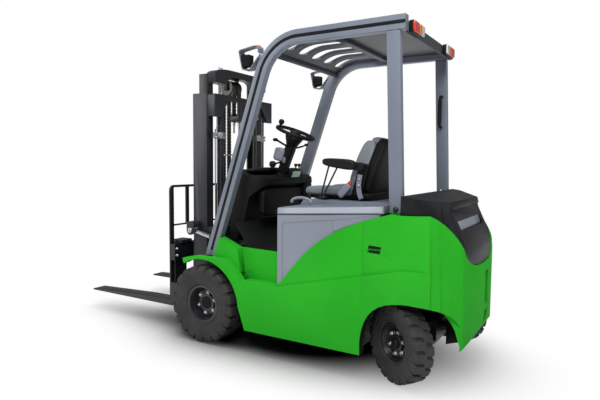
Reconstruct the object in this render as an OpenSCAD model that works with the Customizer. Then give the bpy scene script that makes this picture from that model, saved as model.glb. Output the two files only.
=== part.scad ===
// Counterbalance forklift truck, electric, four wheels.
// +X forward, +Y to the left, +Z up, ground at z = 0, millimetres.
// Inside the modules x is measured from the front axle; at_axle() puts it in the part's frame.

/* [Chassis] */
// Distance between the front and rear axles
wheelbase = 1430; // [1380:5:1600]
// Counterweight's reach behind the rear axle
rear_overhang = 325; // [320:5:400]
// Width over the body sides
body_w = 1120; // [1060:5:1200]
// Height of the body's lower edge
body_z = 147; // [110:1:180]
// Thickness of the side walls
wall_t = 58; // [40:1:70]
// Height of the entry step
step_z = 466; // [420:1:500]
// Depth of the entry step
step_d = 108; // [80:1:112]
// Height of the floor
floor_z = 655; // [630:1:690]
// Thickness of the floor mat
mat_t = 8; // [4:1:12]
// Room round the front tyre in its arch
arch_gap = 46; // [30:1:60]

/* [Wheels] */
// Front tyre diameter over the lugs
front_d = 532; // [500:2:560]
// Front tyre width
front_w = 196; // [160:2:200]
// How far the front tyres stand out past the body's sides
tyre_out = 16; // [0:1:30]
// Front rim diameter
front_rim_d = 240; // [200:2:280]
// Rear tyre diameter over the lugs
rear_d = 452; // [420:2:460]
// Rear tyre width
rear_w = 130; // [120:2:132]
// Rear rim diameter
rear_rim_d = 212; // [180:2:240]
// Lugs round each tyre
lug_n = 20; // [12:1:24]
// Depth of the lugs
lug_h = 14; // [8:1:20]
// Distance of the kingpins inside the body's sides
kingpin_in = 192; // [188:1:200]
// Distance from a kingpin to its wheel's middle
steer_offset = 90; // [88:1:94]
// Angle at which the rear wheels stand
steer_rest = -33; // [-45:1:45]

/* [Mast] */
// Room between the mast and each front tyre
mast_room = 25; // [20:1:40]
// Distance from the front axle to the mast's rear face
mast_x = 125; // [120:1:150]
// Depth of the outer channels
mast_depth = 130; // [120:1:150]
// Height of the outer channels' top
mast_top = 1730; // [1650:5:1850]
// Height of the outer channels' foot
mast_foot = 95; // [80:1:120]
// How far the inner mast stands raised
lift_rest = 72; // [40:1:120]
// Thickness of the channel walls
channel_t = 18; // [14:1:22]
// Running gap between nested channels
channel_gap = 8; // [6:1:12]
// Distance of the lift cylinders' middles inside the mast's sides
lift_in = 117; // [110:1:125]
// Lift cylinder barrel diameter
lift_d = 50; // [40:1:56]
// Lift cylinder rod diameter
lift_rod_d = 30; // [20:1:36]
// Width of one lift chain
chain_w = 46; // [30:1:50]
// Distance of the lift chains from the middle
chain_y = 32; // [30:1:60]
// Chain sheave diameter
sheave_d = 100; // [80:2:110]

/* [Carriage and forks] */
// Distance from the front axle to the forks' load face
load_dist = 440; // [425:1:480]
// Fork blade length
fork_len = 920; // [800:10:1200]
// Fork blade width
fork_w = 122; // [100:1:130]
// Fork thickness
fork_t = 40; // [35:1:50]
// Distance of the forks from the middle
fork_y = 335; // [200:5:340]
// Height of the forks' underside as it stands
fork_z = 150; // [120:1:200]
// Width of the fork bars
carriage_w = 890; // [860:10:1000]
// Height over the two fork bars
carriage_h = 407; // [380:1:420]
// Height of the load backrest above the upper fork bar
backrest_h = 434; // [300:2:600]

/* [Overhead guard] */
// Height of the guard's top
guard_top = 2045; // [2000:5:2120]
// Distance of the guard's sides inside the body's sides
guard_in = 75; // [60:1:100]
// Width of the front pillar and rail, seen from the side
rail_w = 82; // [60:1:95]
// Thickness of the rails across the truck
rail_t = 52; // [40:1:60]
// Lean of the front pillar from upright
pillar_lean = 19; // [14:0.5:24]
// Radius of the bend from pillar to roof rail, to its outer edge
bend_r = 330; // [220:5:420]
// Slots in the roof
slot_n = 6; // [4:1:8]
// Bars left between the slots
slot_bar = 44; // [30:1:60]

/* [Operator's place] */
// Distance from the front axle back to the hood's front edge
hood_x = 602; // [590:1:640]
// Height of the hood's side edge at the front
hood_z = 963; // [940:1:990]
// Rise of the hood towards the rear
hood_rise = 42; // [0:1:60]
// Height of the hood's side skirt
hood_skirt = 44; // [30:1:60]
// Height of the cowl's top
cowl_z = 1150; // [1100:5:1200]
// Distance of the cowl's sides inside the tilt cylinders' middles
cowl_in = 55; // [45:1:90]
// Radius of the cowl's corner beside the step
cowl_corner = 190; // [100:5:240]
// Steering wheel diameter
wheel_d = 300; // [280:5:340]
// Lean of the steering column from upright
column_lean = 21.5; // [15:0.5:30]
// Width of the seat cushion
seat_w = 480; // [420:5:520]

/* [Hidden] */
$fn = 64;

green = "#43b43a";
grey = "#59606c";
black = "#1c1c1e";
rubber = "#2b2b2c";
steel = "#b9bcc0";

// Clearances shared by the pieces that fit together
run_gap = 0.08;   // shaft in its bore, on the radius
seat_gap = 0.3;   // a piece beside what carries it
panel_gap = 3;    // joint between two panels
steer_gap = 6;    // round the steered wheels' sweep
eps = 0.01;

front_track = body_w + 2 * tyre_out - front_w;
mast_w = front_track - front_w - 2 * mast_room;
rear_x = -wheelbase;
tail_x = -wheelbase - rear_overhang;
axle_x = (wheelbase + rear_overhang - load_dist - fork_len) / 2;
side_y = body_w / 2;
inner_y = side_y - wall_t;
front_r = front_d / 2;
rear_r = rear_d / 2;
arch_r = front_r + arch_gap;
fender_t = 16;
fender_z = front_r + arch_r + fender_t;
kingpin_y = side_y - kingpin_in;
steer_r = sqrt(pow(steer_offset + rear_w / 2, 2) + pow(rear_r, 2)) + steer_gap;
split_x = rear_x + 250;               // joint of chassis and counterweight
bulk_x = split_x + 42;                // rear wall of the battery's room
crease_x0 = -hood_x - 4;              // the side crease starts at the step's rear corner
crease_rise = 13.3;
step_x0 = -330;                       // front end of the step
crest_z = 958;                        // counterweight's shoulder
cover_cut_z = 656;                    // lower edge of the rear cover's cut
tail_r = 2200;                        // curve of the tail in plan
tail_corner = 270;
tow_pin_r = 14;
tow_x = tail_x + 52;
tow_z = 250;                          // foot of the tow pin's bore
tail_z = body_z + 54;                  // the tail's lower edge
vent_x = rear_x + 218;
vent_z = crest_z - 200;
post_x = rear_x + 78;
post_w = 80;
post_t = 44;
hood_end = post_x + post_w / 2 + 8;
mast_y = mast_w / 2;
lift_y = mast_y - lift_in;
arm_y = mast_y - 100;                 // outer face of the arms that carry the axle
flange_w = 62;
outer_flange_x0 = mast_x + channel_t;
outer_flange_x1 = mast_x + mast_depth - channel_t;
roller_r = (outer_flange_x1 - outer_flange_x0) / 2 - seat_gap;
mast_mid = mast_x + mast_depth / 2;
inner_x0 = outer_flange_x0 + channel_gap;
inner_x1 = outer_flange_x1 - channel_gap;
inner_out_y = mast_y - channel_t - 20;
inner_t = 14;
inner_in_y = inner_out_y - flange_w;
inner_foot = mast_foot + lift_rest;
head_x = inner_x0 + 6;                // front edge of the crosshead
head_z = mast_top + lift_rest + 6;    // the crosshead's ends clear the outer channels when it is down
head_top = head_z + 108;
crown_z = head_top - 48;              // the crosshead is shallow over the chains
lift_x = mast_x - lift_d / 2 - 4;
carriage_z = fork_z + 76;
carriage_top = carriage_z + carriage_h;
fork_face = load_dist;
bar_x1 = fork_face - fork_t;
bar_t = 42;
bar_x0 = bar_x1 - bar_t;
plate_y = inner_in_y - 6;
plate_t = 18;
sheave_x = mast_mid - 6;
sheave_z = crown_z - 12 - sheave_d / 2;
chain_rear_x = sheave_x - sheave_d / 2;
chain_front_x = sheave_x + sheave_d / 2;
chain_t = 12;
sheave_out_y = chain_y + chain_w / 2 + 16;
anchor_z = mast_top - 145;
anchor_h = 60;
tie_t = 20;
foot_t = 30;
tie_x = mast_x - lift_d - 8 - tie_t;
tilt_y = mast_y + 40;
cowl_w = 2 * (tilt_y - cowl_in);
tilt_pin = [mast_x + mast_depth - 32, 745];
tilt_slope = 13;
tilt_len = 440;
tilt_rear = [tilt_pin[0] - tilt_len * cos(tilt_slope), tilt_pin[1] - tilt_len * sin(tilt_slope)];
tilt_rod_d = 32;
tilt_d = 66;
eye_play = 4;                         // room for the rod's pin in the mast's ears, on the radius
guard_y = side_y - guard_in;
rail_foot_x = 30;
post_lean = 2.2;
post_z = crest_z + seat_gap;
column_top = [-403, 1452];
column_l = 390;
column_r = 34;
seat_x = -1000;
seat_z = 1000;

module at_axle() translate([axle_x, 0, 0]) children();
module mirrored() { children(); mirror([0, 1, 0]) children(); }
// An outline drawn in x and z, drawn out from y0 to y1
module slab(y0, y1) translate([0, y1, 0]) rotate([90, 0, 0]) linear_extrude(y1 - y0) children();
// A solid of revolution about an axis along y, drawn as radius and place along the axis
module lathe() rotate([-90, 0, 0]) rotate_extrude($fn = 96) children();
function curve(a, b, c, n) = [for (i = [0:n]) let (t = i / n)
    (1 - t) * (1 - t) * a + 2 * t * (1 - t) * b + t * t * c];
function crease_z(x) = step_z + (crease_x0 - x) * tan(crease_rise);

// The green sweep that runs from the step's corner up to the counterweight's shoulder
function sweep_edge() = concat(
    curve([crease_x0, step_z], [-735, 700], [-905, 835], 6),
    curve([-1000, 890], [-1150, 945], [post_x + 20, crest_z], 8));

// The fender's outer edge, an arc round the wheel from the step up to the fender's top
flare_r = arch_r + 70;
function fender_edge() = let (a0 = asin((step_z - front_r) / flare_r), a1 = asin((fender_z - front_r) / flare_r))
    [for (i = [1:6]) let (a = a0 + (a1 - a0) * i / 6) [-flare_r * cos(a), front_r + flare_r * sin(a)]];
// Outline of the body's lower skin, with the front arch cut
module lower_skin() difference() {
    polygon(concat([[step_x0 - 35, body_z], [split_x, body_z], [split_x, crease_z(split_x)], [crease_x0, step_z],
        [step_x0, step_z]], fender_edge(), [[60, fender_z], [168, fender_z - 22], [172, fender_z - 38],
        [arch_r * 0.4, front_r + arch_r * 0.6], [-arch_r * 0.6, front_r + arch_r * 0.6],
        [-arch_r * 0.96, front_r + arch_r * 0.19]]));
    translate([0, front_r]) circle(arch_r);
}
// The counterweight's upper edge at the tail
function tail_top() = [[tail_x - 10, 640], [tail_x + 60, crest_z - 20], [tail_x + 130, crest_z]];
// The sweep's points behind the joint of chassis and counterweight, from the rear forwards
function sweep_back() = let (e = sweep_edge()) [for (i = [len(e) - 1:-1:0]) if (e[i][0] < split_x) e[i]];
// Outline of the upper skin, up to the sweep
module upper_skin() intersection() {
    polygon(concat(sweep_edge(), [[tail_x, crest_z], [tail_x, body_z + 50], [crease_x0, body_z + 50]]));
    translate([split_x, 0]) square([600, 1200]);
}
// The ledge at the side crease, where the upper skin stands in
crease_in = 14;

// Rear edge of the guard's pillar at a height, with a joint's room
function pillar_back(z) = rail_foot_x - rail_w / cos(pillar_lean) - (z - fender_z) * tan(pillar_lean) - panel_gap;

module side_wall() {
    slab(inner_y, side_y - crease_in) upper_skin();
    difference() {
        slab(inner_y, side_y) lower_skin();
        translate([crease_x0, side_y - crease_in + 3, step_z - 2]) rotate([0, crease_rise, 0]) rotate([45, 0, 0])
            translate([-900, 0, 0]) cube([900, 60, 60]);
    }
    // riser behind the step and the wheel house in front of it
    slab(side_y - step_d - 12, side_y - step_d)
        polygon([[crease_x0 + panel_gap, step_z - 30], [crease_x0 + panel_gap, floor_z + 8],
            [step_x0 + 70, floor_z + 16], [pillar_back(floor_z + 76), floor_z + 76],
            [pillar_back(fender_z + 20), fender_z + 20], [-110, fender_z - 20],
            [step_x0, step_z - 30]]);
    slab(side_y - step_d - 2, inner_y + 4) polygon([[crease_x0, step_z - 30], [crease_x0, step_z],
        [step_x0, step_z], [step_x0, step_z - 30]]);
    slab(side_y - step_d - 1, side_y - 52) polygon([[step_x0 + 40, step_z + 40], [step_x0 + 62, floor_z + 12],
        [pillar_back(floor_z + 72) - 6, floor_z + 72], [pillar_back(fender_z - 1) - 6, fender_z - 1], [-190, fender_z - 1]]);
}
module chassis_frame() color(green) at_axle() {
    mirrored() side_wall();
    // bottom plate, cross-members and the battery's front and rear walls
    slab(-inner_y - 1, inner_y + 1) polygon([[step_x0 - 50, body_z], [bulk_x, body_z], [bulk_x, body_z + 20],
        [step_x0 - 50, body_z + 20]]);
    slab(-inner_y - 1, inner_y + 1) polygon([[bulk_x + 12, body_z], [bulk_x, body_z], [bulk_x, crest_z - 98], [bulk_x + 12, crest_z - 98]]);
    slab(-side_y + step_d + 1, side_y - step_d - 1) polygon([[-hood_x - 6, body_z], [-hood_x - 18, body_z],
        [-hood_x - 18, hood_z - hood_skirt - seat_gap], [-hood_x - 6, hood_z - hood_skirt - seat_gap]]);
    slab(-side_y + step_d + 1, side_y - step_d - 1) polygon([[step_x0 - 40, body_z], [step_x0 - 56, body_z],
        [step_x0 - 56, floor_z - 12], [step_x0 - 40, floor_z - 12]]);
    slab(-side_y + step_d + 1, side_y - step_d - 1) polygon([[-hood_x - 6, floor_z - 24],
        [-hood_x - 6, floor_z - 12], [step_x0 - 40, floor_z - 12], [step_x0 - 40, floor_z - 24]]);
    // arms that carry the drive axle
    mirrored() slab(arm_y - 50, arm_y) polygon([[-92, 210], [-92, 330], [step_x0 - 41, 470], [step_x0 - 41, 210]]);
    // ears for the tilt cylinders
    mirrored() for (side = [-1, 1]) slab(tilt_y + side * 34 - 7, tilt_y + side * 34 + 7) difference() {
        union() {
            translate(tilt_rear) circle(34);
            translate([step_x0 - 41, tilt_rear[1] - 66]) square([tilt_rear[0] - step_x0 + 41, 60]);
        }
        translate(tilt_rear) circle(tilt_pin_r + run_gap);
    }
}
tilt_pin_r = 16;

module floor_plate() color(black) at_axle() {
    slab(-side_y + step_d + 14, side_y - step_d - 14) polygon([[-hood_x - 5, floor_z - 12],
        [-hood_x - 5, floor_z - 12 + mat_t], [step_x0 - 5, floor_z - 12 + mat_t], [-196, floor_z + 176],
        [-190, floor_z + 170], [step_x0, floor_z - 12]]);
}

module cowl() color(black) at_axle() difference() {
    intersection() {
        slab(-cowl_w / 2, cowl_w / 2)
            polygon([[-70, floor_z + 30], [-92, cowl_z - 10], [-104, cowl_z + 26], [-128, cowl_z + 40], [-152, cowl_z + 37],
                [-222, cowl_z - 0.8], [-318, cowl_z - 2], [-345, cowl_z - 22], [-350, cowl_z - 62], [-322, cowl_z - 74],
                [-236, cowl_z - 150], [-197, floor_z + 177], [-188, floor_z + 170.5], [-130, floor_z + 30]]);
        linear_extrude(cowl_z + 100) {
            translate([-360, -cowl_w / 2 - 1]) square([400, cowl_w + 1 - cowl_corner]);
            translate([cowl_corner - 360, 0]) square([400, cowl_w / 2 + 1]);
            translate([cowl_corner - 360, cowl_w / 2 - cowl_corner + 6]) circle(cowl_corner);
        }
    }
    at_column() translate([0, 0, -column_l - 1]) cylinder(r = column_r + seat_gap, h = column_l);
}

module at_column() translate([column_top[0], 0, column_top[1]]) rotate([0, -column_lean, 0]) children();
module steering_column() color(grey) at_axle() at_column() {
    translate([0, 0, -column_l]) cylinder(r = column_r, h = column_l - 80);
    translate([0, 0, -150]) cylinder(r = 46, h = 100);
    translate([0, 0, -60]) cylinder(r = 22, h = 40);
}

module control_levers() color(black) at_axle() for (i = [0:1])
    translate([-250, -cowl_w / 2 + 40 + 50 * i, cowl_z - 0.9 + seat_gap]) {
        cylinder(r = 16, h = 10);
        cylinder(r = 6, h = 60);
        translate([0, 0, 66]) sphere(17);
    }

// Plan outline of the tail: straight sides, round corners and a gently curved rear
module tail_plan(half, back, corner) intersection() {
    translate([back, -half]) square([700, 2 * half]);
    union() {
        translate([back + corner, -half]) square([700, 2 * half]);
        translate([back, -half + corner]) square([700, 2 * (half - corner)]);
        for (s = [-1, 1]) translate([back + corner, s * (half - corner)]) circle(corner);
    }
    translate([back + tail_r, 0]) circle(tail_r, $fn = 200);
}
// Cut in the counterweight's rear that the cover fills, seen from behind
function cover_edge() = concat(curve([0, cover_cut_z], [330, cover_cut_z], [405, 722], 5),
    curve([425, 745], [478, 880], [side_y - 14, crest_z + 3], 7));
function cover_side(grow) = [for (p = cover_edge()) [p[0] + (p[0] > 1 ? grow : 0), p[1] - grow]];
module cover_outline(grow) polygon(let (e = cover_side(grow)) concat(e, [[side_y, crest_z + 200], [-side_y, crest_z + 200]],
    [for (i = [len(e) - 1:-1:1]) [-e[i][0], e[i][1]]]));
// An outline drawn in y and z, drawn out from x0 to x1
module across(x0, x1) translate([x0, 0, 0]) rotate([90, 0, 90]) linear_extrude(x1 - x0) children();

// Reach and height of the steered wheel's sweep round its kingpin, with room
function sweep_top(r) = rear_r + 18 + sqrt(max(0, rear_r * rear_r - max(0, r * r - pow(steer_offset + rear_w / 2, 2))));
function dome() = concat([[0, -1], [steer_r, -1], [steer_r, rear_r + 20]],
    [for (k = [0.97, 0.92, 0.86, 0.79, 0.71, 0.63, 0.555]) [steer_r * k, sweep_top(steer_r * k)]],
    [[0, sweep_top(0)]]);
function arch_edge() = concat([[rear_x + 252, -1]],
    curve([rear_x + 252, 190], [rear_x + 250, rear_d - 14], [rear_x + 60, rear_d + 16], 8),
    curve([rear_x, rear_d + 24], [rear_x - 40, rear_d + 27], [rear_x - 130, rear_d + 18], 4),
    curve([rear_x - 150, rear_d + 14], [rear_x - 284, rear_d - 8], [rear_x - 292, 230], 8),
    [[rear_x - 294, -1]]);
module wheel_well() mirrored() {
    translate([rear_x, kingpin_y, 0]) rotate_extrude($fn = 96) polygon(dome());
    slab(kingpin_y + 80, side_y + 50) polygon(arch_edge());
}
module counterweight() color(green) at_axle() difference() {
    intersection() {
        translate([0, 0, body_z - 7]) linear_extrude(900) tail_plan(side_y, tail_x, tail_corner);
        slab(-side_y, side_y) polygon(concat([[split_x, body_z], [rear_x - 120, body_z]], curve([tail_x + 100, tail_z],
            [tail_x + 6, tail_z + 8], [tail_x, tail_z + 165], 6), tail_top(), sweep_back(),
            [[split_x, lookup(split_x, sweep_edge())]]));
        union() {
            slab(-side_y, side_y) polygon([[split_x, body_z - 5], [tail_x - 20, body_z - 5],
                [tail_x - 20, crease_z(-1420)], [-1420, crease_z(-1420)], [split_x, crease_z(split_x)]]);
            slab(-side_y + crease_in, side_y - crease_in) polygon([[split_x, body_z], [tail_x - 20, body_z],
                [tail_x - 20, 1200], [split_x, 1200]]);
        }
    }
    wheel_well();
    across(tail_x - 50, post_x - 45) cover_outline(0);
    // battery and hood stand in front of the weight
    slab(-inner_y, inner_y) polygon([[split_x + 1, rear_d + 60], [hood_end - 5, rear_d + 60], [hood_end - 5, 1100],
        [split_x + 1, 1100]]);
    // room for the rear axle's pivot
    slab(-170, 170) polygon([[rear_x - 122, -1], [rear_x + 122, -1], [rear_x + 122, rear_r + 96],
        [rear_x - 122, rear_r + 96]]);
    slab(-inner_y, inner_y) polygon([[split_x + 1, -1], [split_x + 1, 420], [-1230, 420], [-1230, -1]]);
    // vents in the sides
    mirrored() slab(side_y - crease_in - 12, side_y + 1) polygon([[vent_x, vent_z - 18], [vent_x - 76, vent_z - 24],
        [vent_x - 84, vent_z + 18], [vent_x - 8, vent_z + 24]]);
    // tow pin
    for (z = [[300, 70], [410, 200]]) translate([tail_x - 30, -45, z[0]]) cube([112, 90, z[1]]);
    translate([tow_x, 0, tow_z - 10]) cylinder(r = tow_pin_r, h = 180);
    translate([tow_x, 0, body_z - 40]) cylinder(r = tow_pin_r + 6, h = tow_z - body_z + 40);
}

module rear_cover() color(black) at_axle() difference() {
    intersection() {
        translate([0, 0, cover_cut_z]) linear_extrude(420) tail_plan(side_y - 26, tail_x + 12, tail_corner);
        slab(-side_y, side_y) polygon(concat([[post_x - 40, cover_cut_z], [tail_x + 16, cover_cut_z],
            [tail_x + 92, 985], [tail_x + 74, 998], [tail_x + 74, 1040]],
            curve([tail_x + 80, 1050], [-1500, 1074], [post_x - 40, 1066], 4)));
        across(tail_x - 50, post_x - 45 - seat_gap) cover_outline(-panel_gap);
    }
    // grey band recess at the rear
    across(tail_x - 50, tail_x + 84) polygon([[-330, 862], [330, 862], [344, 918], [-344, 918]]);
}

module battery() color("#3a3f48") at_axle() translate([bulk_x + 18, -inner_y + 20, body_z + 20])
    cube([-hood_x - 28 - bulk_x - 18, 2 * inner_y - 40, hood_z - hood_skirt - 37 - body_z - 20]);

module side_doors() color(grey) at_axle() difference() {
    door_leaf();
    door_field();
}
module door_leaf() mirrored() slab(inner_y + 2, side_y - crease_in - 6)
    difference() {
        polygon([[crease_x0, step_z + 14], [crease_x0, hood_z - hood_skirt - 5], [hood_end - 3, hood_z + hood_rise - hood_skirt - 5],
            [hood_end - 3, 905], [crease_x0 - 40, step_z + 30]]);
        offset_sweep();
    }
module door_field() mirrored() slab(side_y - crease_in - 10, side_y) polygon([[crease_x0 - 34, step_z - 40],
    [crease_x0 - 34, hood_z - hood_skirt - 58], [crease_x0 - 44, hood_z - hood_skirt - 49], [-1060, hood_z - hood_skirt - 2],
    [hood_end - 40, hood_z - hood_skirt + 8], [hood_end - 40, step_z - 40]]);
module offset_sweep() polygon(concat([for (p = sweep_edge()) [p[0] + seat_gap, p[1] + seat_gap]], [[-1500, crest_z], [-1500, 0], [crease_x0 + 2, 0]]));

// The guard's pillar, bend and roof rail drawn as one band of width w about its middle line
rail_cz = guard_top - bend_r;
rail_cx = rail_foot_x - (rail_cz - fender_z + bend_r * sin(pillar_lean)) * tan(pillar_lean) - bend_r * cos(pillar_lean);
rail_end = post_x - post_w / 2 + 8;
function rail_edge(r) = concat(
    [[rail_cx, rail_cz] + r * [cos(pillar_lean), sin(pillar_lean)] + 1800 * [sin(pillar_lean), -cos(pillar_lean)]],
    [for (i = [0:16]) let (a = pillar_lean + (90 - pillar_lean) * i / 16) [rail_cx + r * cos(a), rail_cz + r * sin(a)]],
    [[rail_end, rail_cz + r]]);
module rail_band(w) polygon(let (mid = bend_r - rail_w / 2, e = rail_edge(mid - w / 2)) concat(
    rail_edge(mid + w / 2), [for (i = [len(e) - 1:-1:0]) e[i]]));
module guard_pillars() color(grey) at_axle() mirrored() difference() {
    slab(guard_y - rail_t, guard_y) rail_band(rail_w);
    slab(guard_y - 7, guard_y + 1) rail_band(14);
    slab(-900, 900) translate([-400, -1000]) square([900, 1000 + fender_z]);
}

module guard_posts() color(grey) at_axle() mirrored() slab(guard_y - post_t, guard_y)
    polygon([[post_x - post_w / 2, post_z], [post_x + post_w / 2, post_z],
        [post_x + post_w / 2 + 38, guard_top - rail_w - seat_gap], [post_x - post_w / 2 + 38,
        guard_top - rail_w - seat_gap]]);

roof_t = 26;
module slot_cut(w) {
    translate([-slot_back + w / 2, -w / 2, 0]) cube([slot_back + bend_r * 0.74 - w, w, 400]);
    for (x = [-slot_back + w / 2, bend_r * 0.74 - w / 2]) translate([x, 0, 0]) cylinder(r = w / 2, h = 400);
}
slot_back = 175;                      // slots' reach behind the bend
roof_front_z = max(guard_top - bend_r * 0.62, column_top[1] + 170);
module guard_roof() color(grey) at_axle() {
    half = guard_y - rail_t;
    pitch = 2 * half / slot_n;
    difference() {
        slab(-half, half) intersection() {
            rail_band(roof_t);
            translate([-2000, roof_front_z]) square([2000, bend_r]);
        }
        for (i = [0:slot_n - 1]) translate([rail_cx, -half + (i + 0.5) * pitch, guard_top - 300]) slot_cut(pitch - slot_bar);
        for (i = [0:slot_n - 1]) translate([rail_end + 60, -half + (i + 0.5) * pitch - (pitch - slot_bar) / 2, guard_top - rail_w / 2 + roof_t / 2 - 5])
            cube([rail_cx - slot_back - 70 - rail_end - 60, pitch - slot_bar, 40]);
    }
    // beam under the roof behind the slots
    translate([rail_cx - slot_back - 62, -half, guard_top - rail_w / 2 - roof_t / 2 - 26]) cube([44, 2 * half, 27]);
    // rear closing plate with the lamp row
    slab(-half, half) polygon([[post_x - post_w / 2 + 8, guard_top - 92], [post_x - post_w / 2 + 20,
        guard_top - 92], [post_x - post_w / 2 + 20, guard_top - rail_w / 2 + roof_t / 2],
        [post_x - post_w / 2 + 8, guard_top - rail_w / 2 + roof_t / 2]]);
}

module grab_handle() color(black) at_axle() translate([post_x + 22, -guard_y + post_t + seat_gap, guard_top - 555]) {
    for (z = [0, 220]) translate([0, 0, z]) rotate([-90, 0, 0]) cylinder(r = 10, h = 44);
    translate([0, 44, -8]) cylinder(r = 14, h = 236);
}

module headlamps() color(black) at_axle() mirrored() difference() {
    translate([lamp_x, guard_y - 30, lamp_z]) {
        translate([-160, 4, -12]) cube([180, 16, 24]);
        translate([0, -26, -52]) cube([72, 76, 104]);
    }
    slab(0, 900) rail_band(rail_w + 2 * seat_gap);
}
lamp_x = rail_cx + bend_r + 23;
lamp_z = rail_cz + bend_r * 0.53;

module rear_lamps() color("#b8402a") at_axle() mirrored()
    translate([post_x - post_w / 2 - 26, guard_y - rail_t - 194, guard_top - 88]) cube([34 - seat_gap, 186, 66]);

// Drive axle: casing, tubes on which the mast tilts, and wheel hubs
tube_r = 58;
stub_r = 40;
module drive_axle() color(black) at_axle() translate([0, 0, front_r]) {
    rotate([90, 0, 0]) cylinder(r = 104, h = 2 * (arm_y - 65), center = true);
    rotate([90, 0, 0]) cylinder(r = tube_r, h = 2 * (front_track / 2 - front_w / 2 - 8), center = true);
    rotate([90, 0, 0]) cylinder(r = stub_r, h = 2 * (front_track / 2 + 24), center = true);
    mirrored() translate([0, front_track / 2 - front_w / 2 - 14, 0]) rotate([-90, 0, 0]) cylinder(r = 92, h = 20);
    mirrored() translate([-92 + seat_gap, arm_y - 65, -56]) cube([60, 66, 120]);
    translate([-150, 105 - arm_y, -60]) cube([150, 2 * (arm_y - 105), 150]);
}

// Steer axle: two plates, kingpins and the pivot that lets it rock
beam_h = 62;
pin_r = 16;
module beam_plate() linear_extrude(16) union() {
    polygon([[-64, -120], [64, -120], [64, 120], [32, kingpin_y], [-32, kingpin_y], [-64, 120]]);
    translate([0, kingpin_y]) circle(32);
    mirror([0, 1]) polygon([[-64, -120], [64, -120], [64, 120], [32, kingpin_y], [-32, kingpin_y], [-64, 120]]);
    translate([0, -kingpin_y]) circle(32);
}
module steer_axle() color(black) at_axle() translate([rear_x, 0, rear_r]) {
    translate([0, 0, beam_h]) beam_plate();
    translate([0, 0, -beam_h - 16]) beam_plate();
    translate([-64, -118, -beam_h - eps]) cube([128, 236, 2 * beam_h + 2 * eps]);
    mirrored() translate([0, kingpin_y, -beam_h - 16]) cylinder(r = pin_r, h = 2 * beam_h + 32);
    rotate([0, 90, 0]) cylinder(r = 30, h = 236, center = true);
    translate([-45, -80, beam_h + 16 - eps]) cube([90, 160, 96 - beam_h - 16 - seat_gap]);
}

// Hood: a lid of sheet with side skirts and a raised seat plinth, open below
hood_t = 8;
hinge_r = 6;
hood_half = side_y - 24;
module hood_side(t) polygon([[-hood_x - t, hood_z - hood_skirt - 3 * t], [-hood_x - t, hood_z - 10 - t],
    [-hood_x - 12 - t, hood_z - t], [hood_end + t, hood_z + hood_rise - t],
    [hood_end + t, hood_z + hood_rise - hood_skirt - 3 * t]]);
module plinth_side(t) polygon([[-640 - t, hood_z - 8], [-640 - t, hood_z], [-668 - t, seat_z + 2 - seat_gap - t],
    [-1210 + t, seat_z + 2 - seat_gap - t], [-1260 + t, hood_z + hood_rise - 6], [-1260 + t, hood_z - 8]]);
module hood() color(grey) at_axle() difference() {
    union() {
        slab(-hood_half, hood_half) hood_side(0);
        slab(-330, 330) plinth_side(0);
        mirrored() translate([hood_end, 300, hood_z + hood_rise + 2]) rotate([-90, 0, 0]) cylinder(r = hinge_r, h = 110);
    }
    slab(-hood_half + hood_t, hood_half - hood_t) hood_side(hood_t);
    slab(-330 + hood_t, 330 - hood_t) plinth_side(hood_t);
}
module seat_frame() color(black) at_axle() {
    slab(-190, 190) polygon([[-680, seat_z + 2], [-680, seat_z + 30 - seat_gap], [-1098, seat_z + 30 - seat_gap], [-1098, seat_z + 2]]);
    mirrored() slab(232, 246) polygon([[-960, seat_z + 24], [-1080, seat_z + 24], [-1080, seat_z + 240],
        [-1000, seat_z + 240]]);
    slab(-246, 246) polygon([[-1014, seat_z + 10], [-1090, seat_z + 10], [-1090, seat_z + 30],
        [-1014, seat_z + 30]]);
    slab(-232, 232) polygon([[-1090, seat_z + 4], [-1130, seat_z + 4], [-1206, seat_z + 390],
        [-1180, seat_z + 404], [-1160, seat_z + 380], [-1105, seat_z + 36]]);
}
module seat_cushion() color("#26262a") at_axle() slab(-seat_w / 2 + 10, seat_w / 2 - 10)
    polygon([[-612, seat_z + 30], [-600, seat_z + 56], [-640, seat_z + 78], [-980, seat_z + 62],
        [-1010, seat_z + 72], [-1010, seat_z + 30]]);
module seat_back() color("#26262a") at_axle() slab(-228, 228)
    polygon([[-1086, seat_z + 40], [-1030, seat_z + 90], [-1040, seat_z + 200], [-1098, seat_z + 396],
        [-1140, seat_z + 400], [-1160 + seat_gap, seat_z + 380], [-1105 + seat_gap, seat_z + 36]]);
module armrests() color("#2f2f33") at_axle() mirrored() {
    slab(250, 306) polygon([[-800, seat_z + 222], [-782, seat_z + 240], [-786, seat_z + 258], [-812, seat_z + 273],
        [-1000, seat_z + 260], [-1010, seat_z + 196], [-960, seat_z + 192], [-820, seat_z + 219]]);
    slab(246 + seat_gap, 251) polygon([[-985, seat_z + 190], [-985, seat_z + 240], [-1060, seat_z + 240],
        [-1060, seat_z + 190]]);
    for (r = [[-766, 16, 206], [-782, 28, 215]]) translate([r[0], 276, seat_z + 24]) rotate([0, -r[1], 0]) cylinder(r = 5, h = r[2]);
    slab(190 + seat_gap, 282) polygon([[-750, seat_z + 12], [-800, seat_z + 12], [-800, seat_z + 26],
        [-750, seat_z + 26]]);
}

module steering_wheel() color(black) at_axle() at_column() {
        rotate_extrude($fn = 96) translate([wheel_d / 2 - 13, 0]) circle(13, $fn = 24);
        translate([0, 0, -20 + seat_gap]) cylinder(r = 40, h = 30);
        for (a = [90, 210, 330]) rotate([0, 0, a]) translate([20, -14, -8]) cube([wheel_d / 2 - 34, 28, 12]);
        rotate([0, 0, 60]) translate([wheel_d / 2 - 13, 0, 8]) cylinder(r = 8, h = 30);
        rotate([0, 0, 60]) translate([wheel_d / 2 - 13, 0, 52]) sphere(20);
}

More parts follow.
